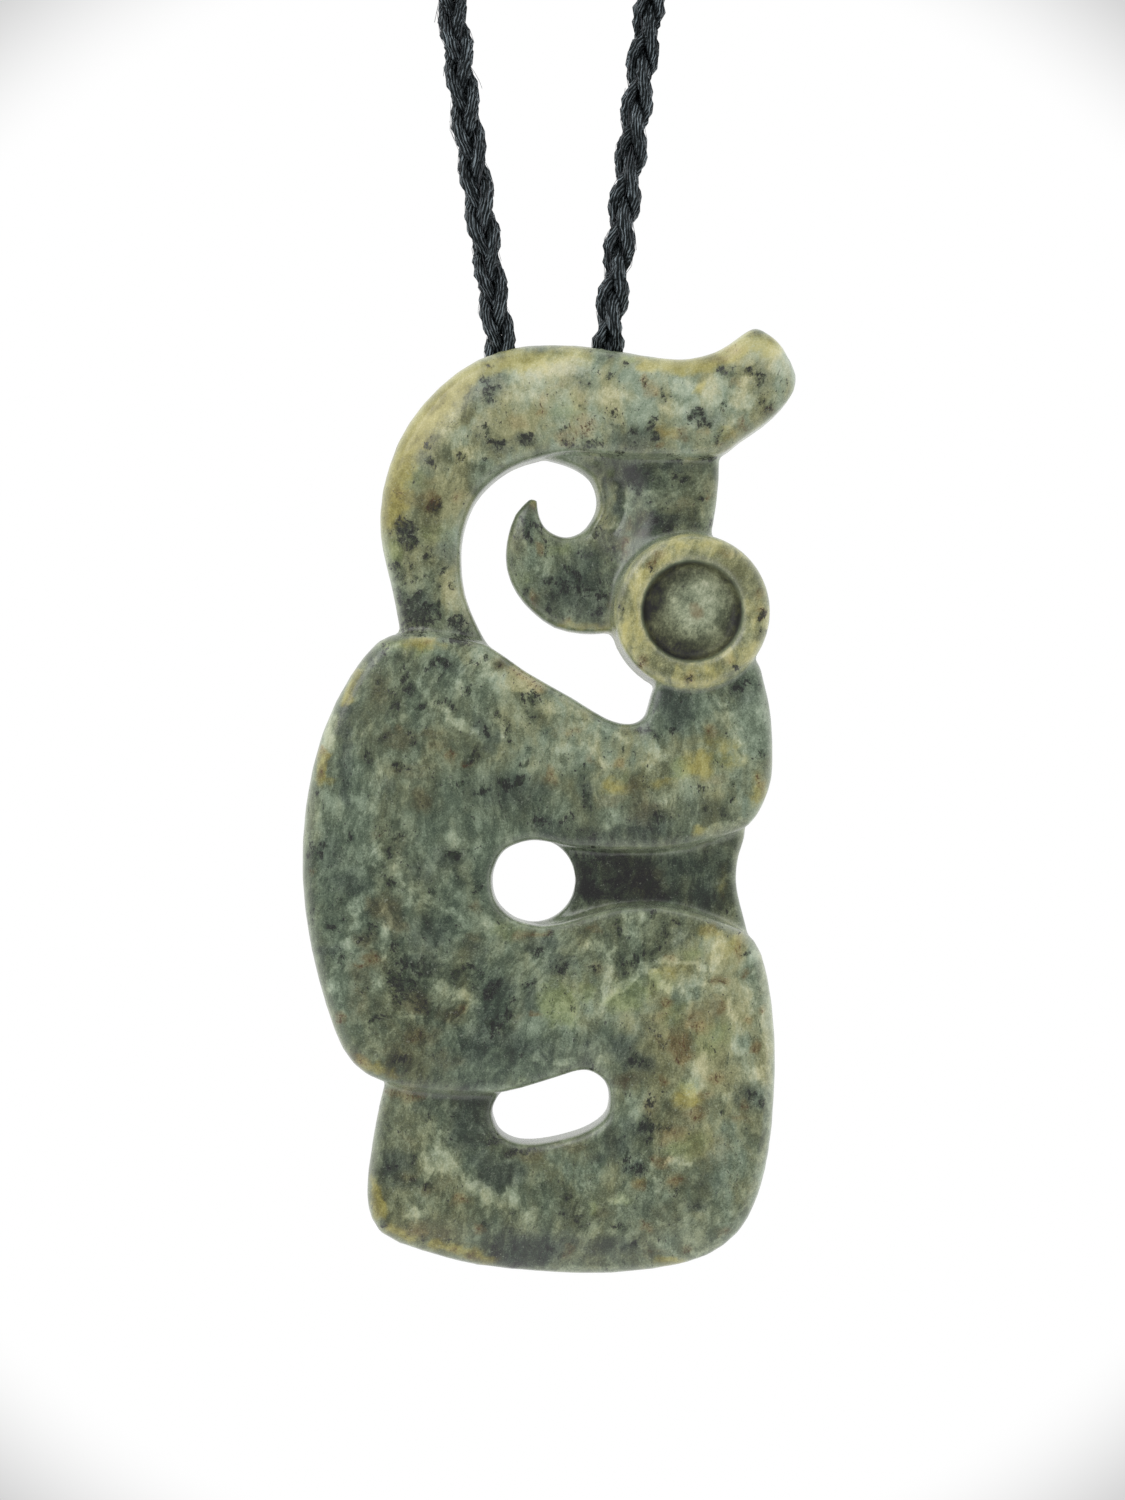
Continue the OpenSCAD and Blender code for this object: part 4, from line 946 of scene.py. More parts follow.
    (5.5, 10.9, 0.3, 0.4, 0.8), (5.6, 9.3, 0.3, 0.3, 0.8), (6.4, 8.5, 0.6, 0.5, 0.7),
    (7, 12, 0.9, 0.6, 0.8), (7.6, 10.9, 0.4, 0.4, 0.8), (6.6, 2.6, 0.3, 0.4, 0.9),
    (5, 3.8, 0.7, 0.3, 0.7), (9.5, 6.4, 0.4, 0.3, 0.7), (10.7, 5.7, 0.5, 0.3, 0.6),
    (8.6, 3, 0.4, 0.4, 0.6), (8.8, 12, 0.6, 0.3, 0.6), (3, 33.2, 1.4, 0.9, 0.7),
    (3.4, 29.9, 1.2, 0.4, 0.7), (7.4, 30.8, 0.8, 0.8, 0.7), (13.6, 28.6, 0.4, 0.4, 0.8),
], [
    (-12.2, 59.8, -11.6, 58, 0.6), (-6.5, 49, -5.9, 48.6, 0.2), (-2.25, 60.4, -2.3, 59.2, 0.25, 0.9),
    (-2.2, 59, -1.8, 58, 0.3, 0.9), (3.3, 59, 4.2, 59.6, 0.2, 0.8), (-1.4, 59.9, -0.6, 58.7, 0.2, 0.6),
    (-12.9, 50.2, -13.3, 49.4, 0.2, 0.7),
])

# %% [markdown]
# Pale wisps are healed cracks. They run as thin veins through the lobe and the torso, so most are
# strokes.

# %% Pale wisps
paint("pale", [
    (18, 72.8, 0.8, 1.2, 0.9), (15, 69.6, 1.2, 0.8, 0.7), (0.8, 72.3, 2.4, 0.8, 0.8),
    (-2.4, 71.6, 1.6, 0.8, 0.7), (7.4, 71.9, 1.2, 0.6, 0.6), (-8.2, 66.6, 1.2, 0.8, 0.6),
    (4.4, 70, 1.4, 0.8, 0.6), (13.6, 67.9, 1.4, 0.6, 0.5), (-8.8, 68.2, 0.9, 0.7, 0.6),
    (-7, 65.3, 1.4, 1, 0.5), (-2.8, 70.3, 2.2, 1.5, 0.5), (9.3, 69, 1.3, 0.9, 0.8),
    (10.2, 70.6, 1.3, 0.8, 0.7), (12.8, 70.5, 0.9, 1, 0.9), (5.9, 69.4, 1.2, 0.8, 0.4),
    (15.2, 71.2, 0.6, 0.5, 0.6), (8, 62.3, 0.9, 0.5, 0.6), (10.6, 62.4, 1.4, 0.4, 0.4),
    (11.6, 60.9, 0.6, 0.5, 0.4), (-1, 56.2, 0.8, 1, 0.4), (6.6, 55.4, 0.5, 1, 0.6),
    (8.8, 48.4, 0.8, 0.4, 0.5), (-15.3, 37.3, 0.8, 0.8, 0.6), (-10.9, 40.5, 0.8, 0.6, 0.4),
    (0.8, 41.8, 0.9, 0.6, 0.8), (8.2, 41.3, 0.9, 0.6, 0.7), (7.6, 40.2, 0.7, 0.5, 0.6),
    (16.6, 44.4, 0.5, 0.8, 0.8), (15, 45.2, 0.6, 0.8, 0.4), (8.6, 37.6, 0.9, 0.7, 0.5),
    (-14.2, 33.4, 0.9, 0.9, 0.6), (-11.2, 30, 0.5, 1, 0.5), (-7.8, 34.9, 0.8, 0.7, 0.6),
    (-8.6, 31.6, 0.6, 0.9, 0.5), (-17.6, 23, 0.7, 0.9, 0.6), (-14, 23, 0.6, 0.6, 0.5),
    (-5.2, 28.4, 0.6, 0.8, 0.5), (3.2, 26.4, 0.8, 0.5, 0.6), (6.4, 27.4, 0.7, 0.6, 0.6),
    (9.8, 27.2, 0.6, 0.6, 0.8), (6.7, 28.6, 1.6, 0.4, 0.5), (0.8, 17, 0.8, 0.5, 0.8),
    (-1.3, 17.2, 0.7, 0.5, 0.8), (3.8, 16.9, 0.6, 0.5, 0.6), (15.6, 16, 0.8, 0.8, 0.7),
    (15.4, 21.6, 0.7, 2.2, 0.4), (-9.3, 9, 1.2, 0.9), (-10.9, 4.9, 0.9, 0.5, 0.7),
    (-1.9, 4.9, 0.6, 0.5, 0.7), (-1, 7.8, 1.2, 0.3, 0.5), (8, 7.3, 0.5, 0.5), (4.9, 6.1, 0.8, 0.6, 0.6),
    (2.8, 7.2, 0.5, 0.9, 0.4), (10.9, 15, 0.7, 0.7, 0.8), (13.8, 14.2, 0.6, 0.8, 0.5),
    (8.6, 4.6, 0.8, 0.4, 0.4),
], [
    (-9, 45.2, -7.6, 43.9, 0.3, 0.8), (-8.3, 44, -6.6, 43.4, 0.45), (-11.9, 45.6, -12.4, 43.9, 0.3, 0.7),
    (-7.7, 48.6, -7, 46, 0.3, 0.6), (-6.3, 49.6, -5.2, 47.9, 0.6, 0.6),
    (-17.9, 44.6, -18, 42.2, 0.5, 0.9), (-4.8, 45, -4.2, 43, 0.25, 0.6),
    (-10.7, 47.3, -9.5, 45.2, 0.2, 0.5), (-13.9, 41.2, -14.2, 37, 0.5, 0.5),
    (-0.6, 45.4, 3.4, 42.6, 0.3, 0.5), (1.4, 45, 5.6, 42.3, 0.25, 0.6), (2.6, 42.4, 4.4, 40.2, 0.3, 0.6),
    (12.7, 45.8, 14.8, 43.4, 0.3, 0.5), (13.7, 44.4, 15.4, 41, 0.35, 0.6),
    (12.3, 35.3, 15.3, 35.9, 0.3, 0.6), (-16, 29, -14.5, 30.4, 0.6, 0.6),
    (-15.8, 28, -16.6, 25.8, 0.4, 0.6), (-13.7, 28.8, -13.4, 25.6, 0.25, 0.7),
    (-12.4, 32.8, -12.2, 31.2, 0.3, 0.7), (-9.8, 30, -8, 28.6, 0.4, 0.6),
    (-7.2, 29.4, -7.6, 27.6, 0.3, 0.5), (-8.8, 23, -6.2, 21.6, 0.5, 0.8), (-7.2, 22.4, -5.9, 21.2, 0.35),
    (-12.2, 20.6, -10.8, 20.7, 0.3, 0.8), (-6.8, 21, -6.6, 18.8, 0.5, 0.5), (4.2, 23.8, 4.3, 22.3, 0.3),
    (4.4, 24.8, 4.6, 23.4, 0.25, 0.7), (6.9, 25.2, 7.9, 24, 0.25, 0.9), (7.9, 24, 8.8, 22.9, 0.25, 0.8),
    (4.2, 22, 6.6, 24, 0.2, 0.9), (6.6, 24, 7.3, 24.6, 0.2, 0.8), (3.5, 20.8, 4.2, 22, 0.2, 0.6),
    (7.2, 25, 10.8, 24.9, 0.2, 0.7), (10.8, 24.9, 12, 24.2, 0.25, 0.8), (10.2, 23.2, 12, 23.4, 0.5, 0.8),
    (12, 23.4, 13.6, 22.6, 0.4, 0.6), (13, 27.3, 12.8, 24.4, 0.3, 0.7),
    (10.4, 22.9, 10.8, 21.2, 0.25, 0.9), (10.8, 21.2, 10.6, 19.8, 0.25, 0.7),
    (14, 22, 14.4, 19.6, 0.3, 0.8), (14.4, 19.6, 14.5, 17.6, 0.25, 0.7),
    (11.6, 17.2, 11.4, 15.4, 0.5, 0.9), (5, 26.7, 4, 25.3, 0.3, 0.6), (16.4, 25.4, 17, 22, 0.7, 0.6),
    (17, 22, 17.2, 12, 0.6, 0.6), (-9.4, 12, -9.3, 10, 0.3, 0.6), (-8.2, 8.6, -7, 7.4, 0.3, 0.7),
    (-6.2, 7.2, -4.6, 6, 0.6), (-5.6, 5.7, -3.4, 6.2, 0.5, 0.8), (-3.4, 6.2, -2.9, 7.8, 0.4, 0.6),
    (8.8, 9.2, 10.6, 9, 0.25, 0.8), (7.5, 9, 7.6, 7.8, 0.2, 0.7), (12.4, 13.2, 12.2, 12, 0.25, 0.5),
    (16.2, 6.4, 17.2, 12, 0.5, 0.5), (5.9, 63.2, 5.8, 60.4, 0.25, 0.7), (2.4, 58.2, 4.8, 59.9, 0.25, 0.6),
    (0.4, 0.5, 6, 0.7, 0.3, 0.4), (-6.9, 14.8, -2, 15.2, 0.2, 0.4), (11, 1.6, 14.2, 2.9, 0.4, 0.5),
])

# %% [markdown]
# Two broader layers follow the same way. One says how light each part of the figure is, and one how warm:
# the crest and the ring keep the yellow rind of the boulder, and the lowered bridge is painted much
# darker.
# Each area blends into what is painted under it.

# %% Light and warm areas
AREA_ENDS = 1.25
AREA_SOFT = 0.5


def blend_areas(name, ground, areas):
    """Paints soft areas over an even ground and over each other, each with its own value."""
    layer = np.full(len(across_stone), ground, dtype=np.float32)
    for x, z, half_wide, half_high, value in areas:
        away = np.hypot((ragged_across - x) / half_wide, (ragged_up - z) / half_high)
        cover = np.clip((AREA_ENDS - away) / AREA_SOFT, 0, 1)
        layer += (value - layer) * cover * cover * (3 - 2 * cover)
    keep_layer(name, layer)
    print("%s: %d areas, from %.2f to %.2f" % (name, len(areas), layer.min(), layer.max()))


blend_areas("lightness", 0.42, [
    (-11, 63, 5, 8, 0.46), (2, 69.5, 16, 3.8, 0.65), (-9.5, 54.5, 3.5, 3.5, 0.46),
    (8.5, 62.5, 4.5, 2, 0.38), (3, 56, 5, 3, 0.42), (13, 42, 5, 5, 0.50), (0.5, 42, 6, 3.5, 0.50),
    (6, 38, 5, 2, 0.48), (12, 18, 7, 8, 0.52), (1, 22, 3, 2, 0.50), (0, 4, 8, 3, 0.42),
    (-10.5, 6.5, 4, 5, 0.41), (-6, 33, 10, 6, 0.39), (6, 31.4, 5.5, 2.1, 0.08),
    (12.4, 31, 2.4, 2.4, 0.27), (15.6, 73.4, 2.6, 1.3, 0.80), (9, 31.9, 0.8, 1.6, 0.24),
    (0.5, 22.5, 5, 3, 0.50), (12.5, 66, 4, 1.2, 0.54), (6.8, 66.7, 2.4, 1.3, 0.55),
    (-16.5, 33, 2.2, 8, 0.43), (-8.5, 21.5, 5, 3.5, 0.30), (-9.5, 16.8, 4, 3, 0.25),
    (-5.5, 16.8, 2.2, 1.8, 0.33), (-2.6, 22.5, 1.3, 2.4, 0.42), (-7.6, 57.5, 1.6, 6, 0.65),
    (-6.2, 49.4, 2, 0.9, 0.60), (-2.2, 47.5, 2.8, 1.2, 0.67), (1.4, 45.4, 2.6, 1, 0.66),
    (3.5, 43, 4, 1.6, 0.57), (6.2, 41.4, 2.2, 1.5, 0.63), (-8.2, 69.2, 2, 1.8, 0.43),
    (17.7, 71.4, 1.8, 1.8, 0.71), (5, 64.1, 2.8, 1, 0.28), (9, 59.8, 3.2, 1.3, 0.29),
    (4, 61, 1.1, 1.8, 0.55), (12.3, 62.2, 0.9, 2.2, 0.50), (-1.6, 59, 1.2, 2.2, 0.51),
    (15.6, 37, 1.5, 1.1, 0.62), (5.5, 34.6, 6, 1.1, 0.29), (-6.5, 36.2, 4.5, 1.3, 0.35),
    (13.6, 25.8, 3, 1.6, 0.60), (13.4, 20, 2, 2.2, 0.58), (9, 17, 1.8, 1.8, 0.44),
    (-3.4, 27, 1.4, 1.6, 0.49), (2.5, 8.6, 5.5, 1.5, 0.50), (14.5, 8, 2.4, 2.6, 0.53),
    (10, 12, 2, 2.2, 0.42), (1, 1.5, 8, 1.6, 0.31), (-3.8, 10.4, 1.4, 0.9, 0.32),
    (-13.6, 8, 1.7, 4.6, 0.33), (-12.6, 31, 2.6, 2.8, 0.33), (-9.5, 49.9, 4.2, 0.9, 0.53),
    (-5.2, 65.6, 3.2, 1.2, 0.58), (-9.6, 63.2, 2.6, 1.5, 0.54), (-13.2, 58.4, 0.9, 1.6, 0.57),
    (-12.3, 53.6, 0.8, 2.4, 0.38), (9.2, 68.7, 2, 1.5, 0.57), (-16, 44, 2.2, 2.6, 0.46),
    (-16.8, 22, 1.2, 3, 0.48),
])
blend_areas("warmth", 0.42, [
    (-11, 64, 4, 8, 0.80), (2, 69.5, 16, 3.8, 0.55), (15.5, 45, 3, 4, 0.20), (9.7, 45, 3, 2, 0.15),
    (11.5, 18, 5.5, 8, 0.66), (-10.5, 5, 4, 4, 0.60), (-6, 33, 10, 7, 0.28), (-16.5, 32, 2, 10, 0.20),
    (-3, 18, 6, 4, 0.22), (10, 31.5, 6, 2.2, 0.35), (11.5, 69, 5.5, 2.4, 0.42),
    (-0.6, 67.2, 2.2, 1.6, 0.78), (-7.8, 56, 1.4, 4, 0.42), (16.5, 73.8, 2, 1.2, 0.40),
    (-8.4, 69, 2, 1.8, 0.85),
])

# %% [markdown]
# A few layers are worked out. The ring round the eye stands proud and is cut from the yellow rind. The
# dish inside it gets painted shade: it is darkest along the foot of its wall, in the wall's shade, and
# palest just above its middle, where it is lit.

# %% The eye's layers
# The lit middle of the dish's painted shade.
DISH_LIT_X, DISH_LIT_Z = 11.5, 53.2
DISH_LIT_WIDE, DISH_LIT_HIGH = 3.8, 4.0

from_eye = np.hypot(across_stone - RING_X, up_stone - RING_Z)
on_ring = soft_step(from_eye, 3.95, 4.15) * soft_step(-from_eye, -6.35, -6.05)
keep_layer("ring", on_ring * (depth_stone < -1.2))
from_dish_lit = np.hypot((across_stone - DISH_LIT_X) / DISH_LIT_WIDE, (up_stone - DISH_LIT_Z) / DISH_LIT_HIGH)
# Painted shade: 0 at the lit middle of the dish, rising to 1 along the foot of its wall.
dish = 0.75 * soft_step(from_dish_lit, 0.25, 1.05) + 0.25 * soft_step(from_eye, 2.9, 3.7)
keep_layer("dish", dish * soft_step(-from_eye, -4.2, -4.0) * (depth_stone < -1.0))
keep_layer("eye_middle", soft_step(-from_eye, -4.1, -3.8) * (depth_stone < -1.0))
print("%d vertices are on the ring" % (on_ring > 0.5).sum())

# %% [markdown]
# Greenstone lets some light through, and the thin rounded rims of the carving catch the white tent, so
# they look milky. That pale tint is painted reflection and painted light. A rim is where the surface
# turns away from the front and the back, and the tint is blurred by letting each vertex share with those
# next to it.

# %% Painted reflection on the rims
RIM_REFLECTION_BLUR = 4

rim = soft_step(1 - np.abs(vertex_array(stone.data, "normal")[:, 1]), 0.10, 0.45)
neighbours = np.bincount(first, minlength=len(rim)) + np.bincount(second, minlength=len(rim))
for _ in range(RIM_REFLECTION_BLUR):
    spread = np.bincount(first, rim[second], len(rim)) + np.bincount(second, rim[first], len(rim))
    rim = 0.5 * rim + 0.5 * spread / neighbours
keep_layer("rim", rim)
print("the stone's mesh has", len(stone.data.polygons), "faces")

# %% [markdown]
# Greenstone is felted: its mineral grows in matted needles, so the colour changes at every size from a
# centimetre down to a hair. The base is a sum of noises at several sizes, pulled out along the needles.
# The sum picks a tone from ramps, a cool green-grey one and a warm yellow-grey one mixed by warmth, and
# ramps of the same tones in rind, lime, rust and slate for what was painted. Colours are written as the
# eye sees them. A polished face adds a little white from the tent, so that is taken off to get the colour
# of the stone itself.

# %% Colours of the stone
VEIL = 0.028
LIT = 0.95


def linear(value):
    """How much light a step of 0 to 255 on the screen stands for."""
    value /= 255
    return value / 12.92 if value <= 0.04045 else ((value + 0.055) / 1.055) ** 2.4


def stone_colour(red, green, blue):
    """The colour of the material that looks like this on a polished face in the tent."""
    return tuple(max(0.002, (linear(c) - VEIL) / LIT) for c in (red, green, blue))


def opaque(colour):
    """A colour with its fourth number, which says that it covers fully."""
    return (*colour, 1)


def tones(*stops):
    """A ramp of colours as they look, each with its place on the ramp first."""
    return [(place, stone_colour(*colour)) for place, *colour in stops]


COOL_TONES = tones(
    (0.00, 40, 48, 42), (0.22, 66, 77, 67), (0.42, 98, 111, 94),
    (0.60, 136, 150, 130), (0.80, 172, 184, 163), (1.00, 206, 211, 193))
WARM_TONES = tones(
    (0.00, 46, 46, 34), (0.22, 76, 77, 58), (0.42, 109, 111, 83),
    (0.60, 147, 148, 112), (0.80, 186, 184, 146), (1.00, 212, 209, 176))
RIND_TONES = tones(
    (0.00, 70, 64, 34), (0.30, 124, 116, 60), (0.55, 168, 159, 90),
    (0.75, 190, 181, 113), (1.00, 210, 203, 146))
LIME_TONES = tones(
    (0.00, 54, 62, 40), (0.30, 96, 108, 70), (0.55, 142, 154, 104),
    (0.80, 178, 188, 138), (1.00, 206, 210, 170))
RUST_TONES = tones(
    (0.00, 52, 45, 32), (0.30, 88, 77, 54), (0.55, 132, 116, 80),
    (0.80, 184, 165, 120), (1.00, 208, 192, 154))
SLATE_TONES = tones(
    (0.00, 34, 40, 37), (0.25, 62, 70, 65), (0.50, 94, 105, 97),
    (0.75, 140, 150, 140), (1.00, 190, 196, 186))
# Painted reflection: the pale tint of the rims.
RIM_REFLECTION_TINT = stone_colour(172, 180, 160)
FLAKE = stone_colour(52, 60, 47)
SPECK = stone_colour(34, 38, 29)
BRIGHT_SPECK = stone_colour(178, 186, 168)
RUSTY_SPECK = stone_colour(84, 64, 38)
EYE_RUST = stone_colour(132, 114, 84)
EYE_DARK = stone_colour(52, 54, 44)
print("the darkest colour the stone needs:", tuple(round(c, 4) for c in SPECK))

# %% [markdown]
# The noises need a place to be drawn at. Object coordinates go through the stone from side to side, so
# the pattern does too, as in a real pebble that is sawn. They are turned into millimetres of the stone's
# own frame, and then bent and pushed about, so that nothing runs straight. The needles lean a little.

# %% Places in the stone for the shader
NEEDLES_LEAN = (0, -14, 0)
NEEDLES_PULL = (1, 0.8, 0.5)

greenstone, stone_shader, stone_start = new_material("greenstone")
place = stone_start.add("TexCoord", output=3)
place = place.stretched(along=(1000, 1000, 1000), shift=(0, 0, HANG_DROP))


def warped(where, scale, amount):
    """The same place, pushed about by up to amount millimetres."""
    push = where.noise(scale, 2, output=1)
    centred = push.add("VectorMath", {"operation": "SUBTRACT"}, {0: push, 1: (0.5, 0.5, 0.5)})
    return where.shifted(centred.spread(amount))


def painted(name):
    """A layer that was kept on the mesh, as a wire."""
    return stone_start.add("Attribute", {"attribute_name": name}, output=2)


def count_nodes():
    print("the stone's material has %d nodes so far" % len(greenstone.node_tree.nodes))


bent = warped(warped(place, 0.05, 9.0), 0.6, 0.8)
needles = bent.stretched(turn=NEEDLES_LEAN).stretched(along=NEEDLES_PULL)
count_nodes()

# %% [markdown]
# No stain in a stone has a clean border. Fray is a fine noise that eats into the soft borders of what was
# painted, and shreds are a finer one, drawn out upwards, for the dark clots and the pale wisps.

# %% Frayed paint
fray = warped(place, 1.4, 0.5).noise(1.3, 5, 0.7) - 0.5
shreds = bent.stretched(along=(1, 1, 0.6)).noise(2.8, 5, 0.75) - 0.5


def frayed(name, low=-0.05, high=1.05, fraying=1.3, shredding=0.0):
    """A painted layer with its borders frayed, and torn to shreds where asked."""
    loose = painted(name).step(0.0, 0.4)
    return (painted(name) * 1.1 + (fray * fraying + shreds * shredding) * loose).step(low, high)


rind = frayed("rind")
lime = frayed("lime")
rust = frayed("rust")
olive = frayed("olive")
slate = frayed("slate")
dark = frayed("dark", 0.05, 1.0, 1.5, 3.0)
pale = frayed("pale", 0.1, 0.9, 1.5, 1.6)
ring = painted("ring")
print("the layers on the mesh:", [layer.name for layer in stone.data.attributes if layer.name[0] != "."])

# %% [markdown]
# How light the stone is at a point is the painted lightness with noises of five sizes on top, from clouds
# of a centimetre to a grain of a tenth of a millimetre. The light rind is calmer than the rest. Wisps
# lift the tone, and clots, slate and olive lower it.

# %% How light the stone is
clouds = warped(place, 0.2, 3.0).noise(0.17, 3) - 0.5
blotches = bent.stretched(along=(1, 1, 0.7)).noise(0.55, 4, 0.6) - 0.5
mottle = needles.noise(1.4, 6, 0.72) - 0.5
flecks = needles.noise(3.2, 4, 0.7) - 0.5
grain = place.noise(7.0, 2, 0.7) - 0.5
patches = (mottle + blotches * 0.6).step(-0.03, 0.05) - 0.5

lightness = painted("lightness")
calm = lightness.step(0.75, 0.35) * 0.6 + 0.4
tone = lightness + clouds * 0.4 + (blotches * 0.5 + mottle * 0.54 + patches * 0.06) * calm
tone = tone + flecks * 0.32 + grain * 0.32 + pale * 0.19 + rind * 0.02 - slate * 0.10 - olive * 0.04
tone = tone + ring * 0.19 + ring * blotches * 0.4 - dark * 0.12
count_nodes()

# %% [markdown]
# The dark of this stone is more than a darker tone: it is clouds of tiny black-green crystals. Flakes
# follow the needles and crisp specks lie between them. Both are noises cut off high, and the painted
# darks lower the cut, so that they crowd together there. A few bright specks are the cut ends of needles.

# %% Flakes and specks
cloudy = warped(place, 0.5, 1.5).noise(0.6, 3, 0.6) - 0.5
crowd = slate * 0.03 + cloudy * 0.24 - pale * 0.06 - rind * 0.05 - ring * 0.06 + ring * dark * 0.12
flakes = (needles.noise(2.1, 6, 0.74) - 0.5 + crowd + dark * 0.13).step(0.10, 0.20)
fine = bent.stretched(along=(1, 1, 0.7)).noise(4.4, 3, 0.62) - 0.5
specks = (fine + crowd * 0.85 + dark * 0.17).step(0.14, 0.185)
bright = (place.stretched(shift=(7, 3, 1)).noise(4.0, 3, 0.65) - 0.5 + pale * 0.05).step(0.12, 0.2)
rusty = (rust * 0.10 + fine).step(0.13, 0.19) * rust
count_nodes()

# %% [markdown]
# The tone picks a colour from each ramp, and the ramps are laid over each other: cool first, warm where
# the stone is warm, then each paint's own tones, and last the painted reflection on the rims, the flakes
# and the specks. Warmth drifts about the painted value, and more so where the stone is light.

# %% The stone's colour
drifts = warped(place, 0.3, 2.0).stretched(along=(1, 1, 0.5))
varied = lightness.step(0.42, 0.6) * 1.7 + 1.1
warmth = painted("warmth") + (drifts.noise(0.4, 4, 0.6) - 0.5) * varied


def toned(stops, by=tone):
    """The colour that a ramp of tones has where the stone is this light."""
    return stone_start.add("ValToRGB", {"stops": stops}, {0: by})


colour = toned(COOL_TONES).tint(toned(WARM_TONES), warmth.step(0.1, 0.9))
colour = colour.tint(toned(SLATE_TONES), slate * 0.6)
colour = colour.tint(toned(LIME_TONES), lime * 0.55)
colour = colour.tint(toned(RUST_TONES), olive * 0.38)
colour = colour.tint(toned(RIND_TONES), rind * 0.72)
colour = colour.tint(toned(WARM_TONES), ring * 0.75)
colour = colour.tint(toned(RIND_TONES), ring * (blotches * 3.0 + 0.35).step(0.0, 1.0) * 0.8)
colour = colour.tint(toned(RUST_TONES), rust * 0.52)
# Painted reflection and light: the rims are tinted pale where the surface turns sideways.
colour = colour.tint(opaque(RIM_REFLECTION_TINT), painted("rim") * 0.30)
colour = colour.tint(opaque(FLAKE), flakes * 0.65)
colour = colour.tint(opaque(SPECK), specks * 0.80)
colour = colour.tint(opaque(BRIGHT_SPECK), bright * 0.30)
colour = colour.tint(opaque(RUSTY_SPECK), rusty * 0.7)
count_nodes()

# %% [markdown]
# The dish of the eye is ground but hardly polished, so it is matt. Its colour carries painted shade: pale
# in the middle and dark along the foot of the wall. It has a tone of its own and picks from the same
# ramps.

# %% The eye's dish
eye_middle = painted("eye_middle")
shaded_eye_tone = (place.noise(0.45, 5, 0.65) - 0.5) * 1.4 + flecks * 0.6 + grain * 0.5 + 0.63
# Painted shade: the dish layer darkens the eye's tone towards the foot of its wall.
shaded_eye_tone = shaded_eye_tone - painted("dish") * 0.53
eye_colour = toned(COOL_TONES, shaded_eye_tone).tint(toned(WARM_TONES, shaded_eye_tone), 0.4 + 0.6 * painted("dish"))
eye_colour = eye_colour.tint(opaque(EYE_RUST), rust * 0.6)
eye_colour = eye_colour.tint(opaque(EYE_DARK), (dark * 0.5 + flakes * 0.3).step(0.1, 0.6) * 0.8)
colour = colour.tint(eye_colour, eye_middle)
count_nodes()

# %% [markdown]
# Polished greenstone has a soft shine and a thin clear coat of wax. Its surface isn't quite flat: the
# hand leaves low waves, and the grain and the specks stand a hair's breadth up or down.

# %% The stone's polish
feed(stone_shader, "Base Color", colour)
feed(stone_shader, "Roughness", 0.26 + grain * 0.2 + eye_middle * 0.34)
feed(stone_shader, "Coat Weight", 0.15 - eye_middle * 0.15)
feed(stone_shader, "Coat Roughness", 0.15)
feed(stone_shader, "IOR", 1.6)
surface = mottle * 0.4 + grain * 0.3 - specks * 0.2 + (place.noise(0.5, 2) - 0.5) * 1.2
feed(stone_shader, "Normal", stone_start.add("Bump", {}, {
    "Strength": 0.25, "Distance": 0.00012, "Height": surface}))
stone.data.materials.clear()
stone.data.materials.append(greenstone)
print("finished:", greenstone.name)

# %% [markdown]
# The cord is black waxed thread. Every yarn is a bundle of hair-fine threads that run round it in a long
# screw, so the light catches their tops in short grey-blue streaks and the gaps stay black. Those streaks
# are painted highlights in the colour, and the gaps painted shade over the cord's own black. The threads
# are drawn with the strand's own UV map: round it once across, and in millimetres along.

# %% Waxed cord
THREADS = 13
THREAD_TURN = 5.2
# The cord's own black, also used as painted shade in the gaps and creases.
CORD_BLACK_AND_SHADE = (0.001, 0.0014, 0.0018)
# Painted highlight: the grey-blue of the thread tops.
THREAD_HIGHLIGHT = (0.245, 0.293, 0.320)

waxed_cord, cord_shader, cord_start = new_material("waxed_cord")
on_strand = cord_start.add("UVMap", {"uv_map": "UVMap"})
round_strand = on_strand.add("SeparateXYZ", {}, {0: on_strand})
along_strand = on_strand.add("SeparateXYZ", {}, {0: on_strand}, output=1)
angle = (round_strand + along_strand / THREAD_TURN) * (2 * math.pi)
spot = cord_start.add("CombineXYZ", {}, {
    0: angle.maths("COSINE", angle), 1: angle.maths("SINE", angle), 2: along_strand * 0.22})
wander = spot.noise(1.6, 2) - 0.5
thread = angle.maths("SINE", angle * THREADS + wander * 9.0) * 0.5 + 0.5
streak = spot.noise(4.5, 4, 0.7)
# Painted highlight: the thread tops and streaks take the pale end of the ramp, the gaps its painted
# shade.
shine = thread + (streak - 0.5) * 4.2 - 0.34
cord_colour = cord_start.add("ValToRGB", {"stops": [(0.2, CORD_BLACK_AND_SHADE), (1.0, THREAD_HIGHLIGHT)]}, {0: shine})
crease_shade_here = cord_start.add("Attribute", {"attribute_name": "crease"}, output=2)

# Painted shade: the creases between strands are tinted black.
feed(cord_shader, "Base Color", cord_colour.tint(opaque(CORD_BLACK_AND_SHADE), crease_shade_here * 1.3))
feed(cord_shader, "Roughness", 0.55 - thread * 0.2)
feed(cord_shader, "Specular IOR Level", 0.25)
feed(cord_shader, "Specular Tint", (0.8, 0.95, 1.0, 1))
feed(cord_shader, "Normal", cord_start.add("Bump", {}, {
    "Strength": 1.0, "Distance": 0.0001, "Height": thread + streak * 0.8}))
plait.data.materials.append(waxed_cord)
print("finished:", waxed_cord.name)

# %% [markdown]
# The loose fibres are too thin to show any pattern, so they are an even grey, paler than the waxed
# strands. The knot's thread runs round the knot, so its streaks are drawn out round it and lie close
# along it.

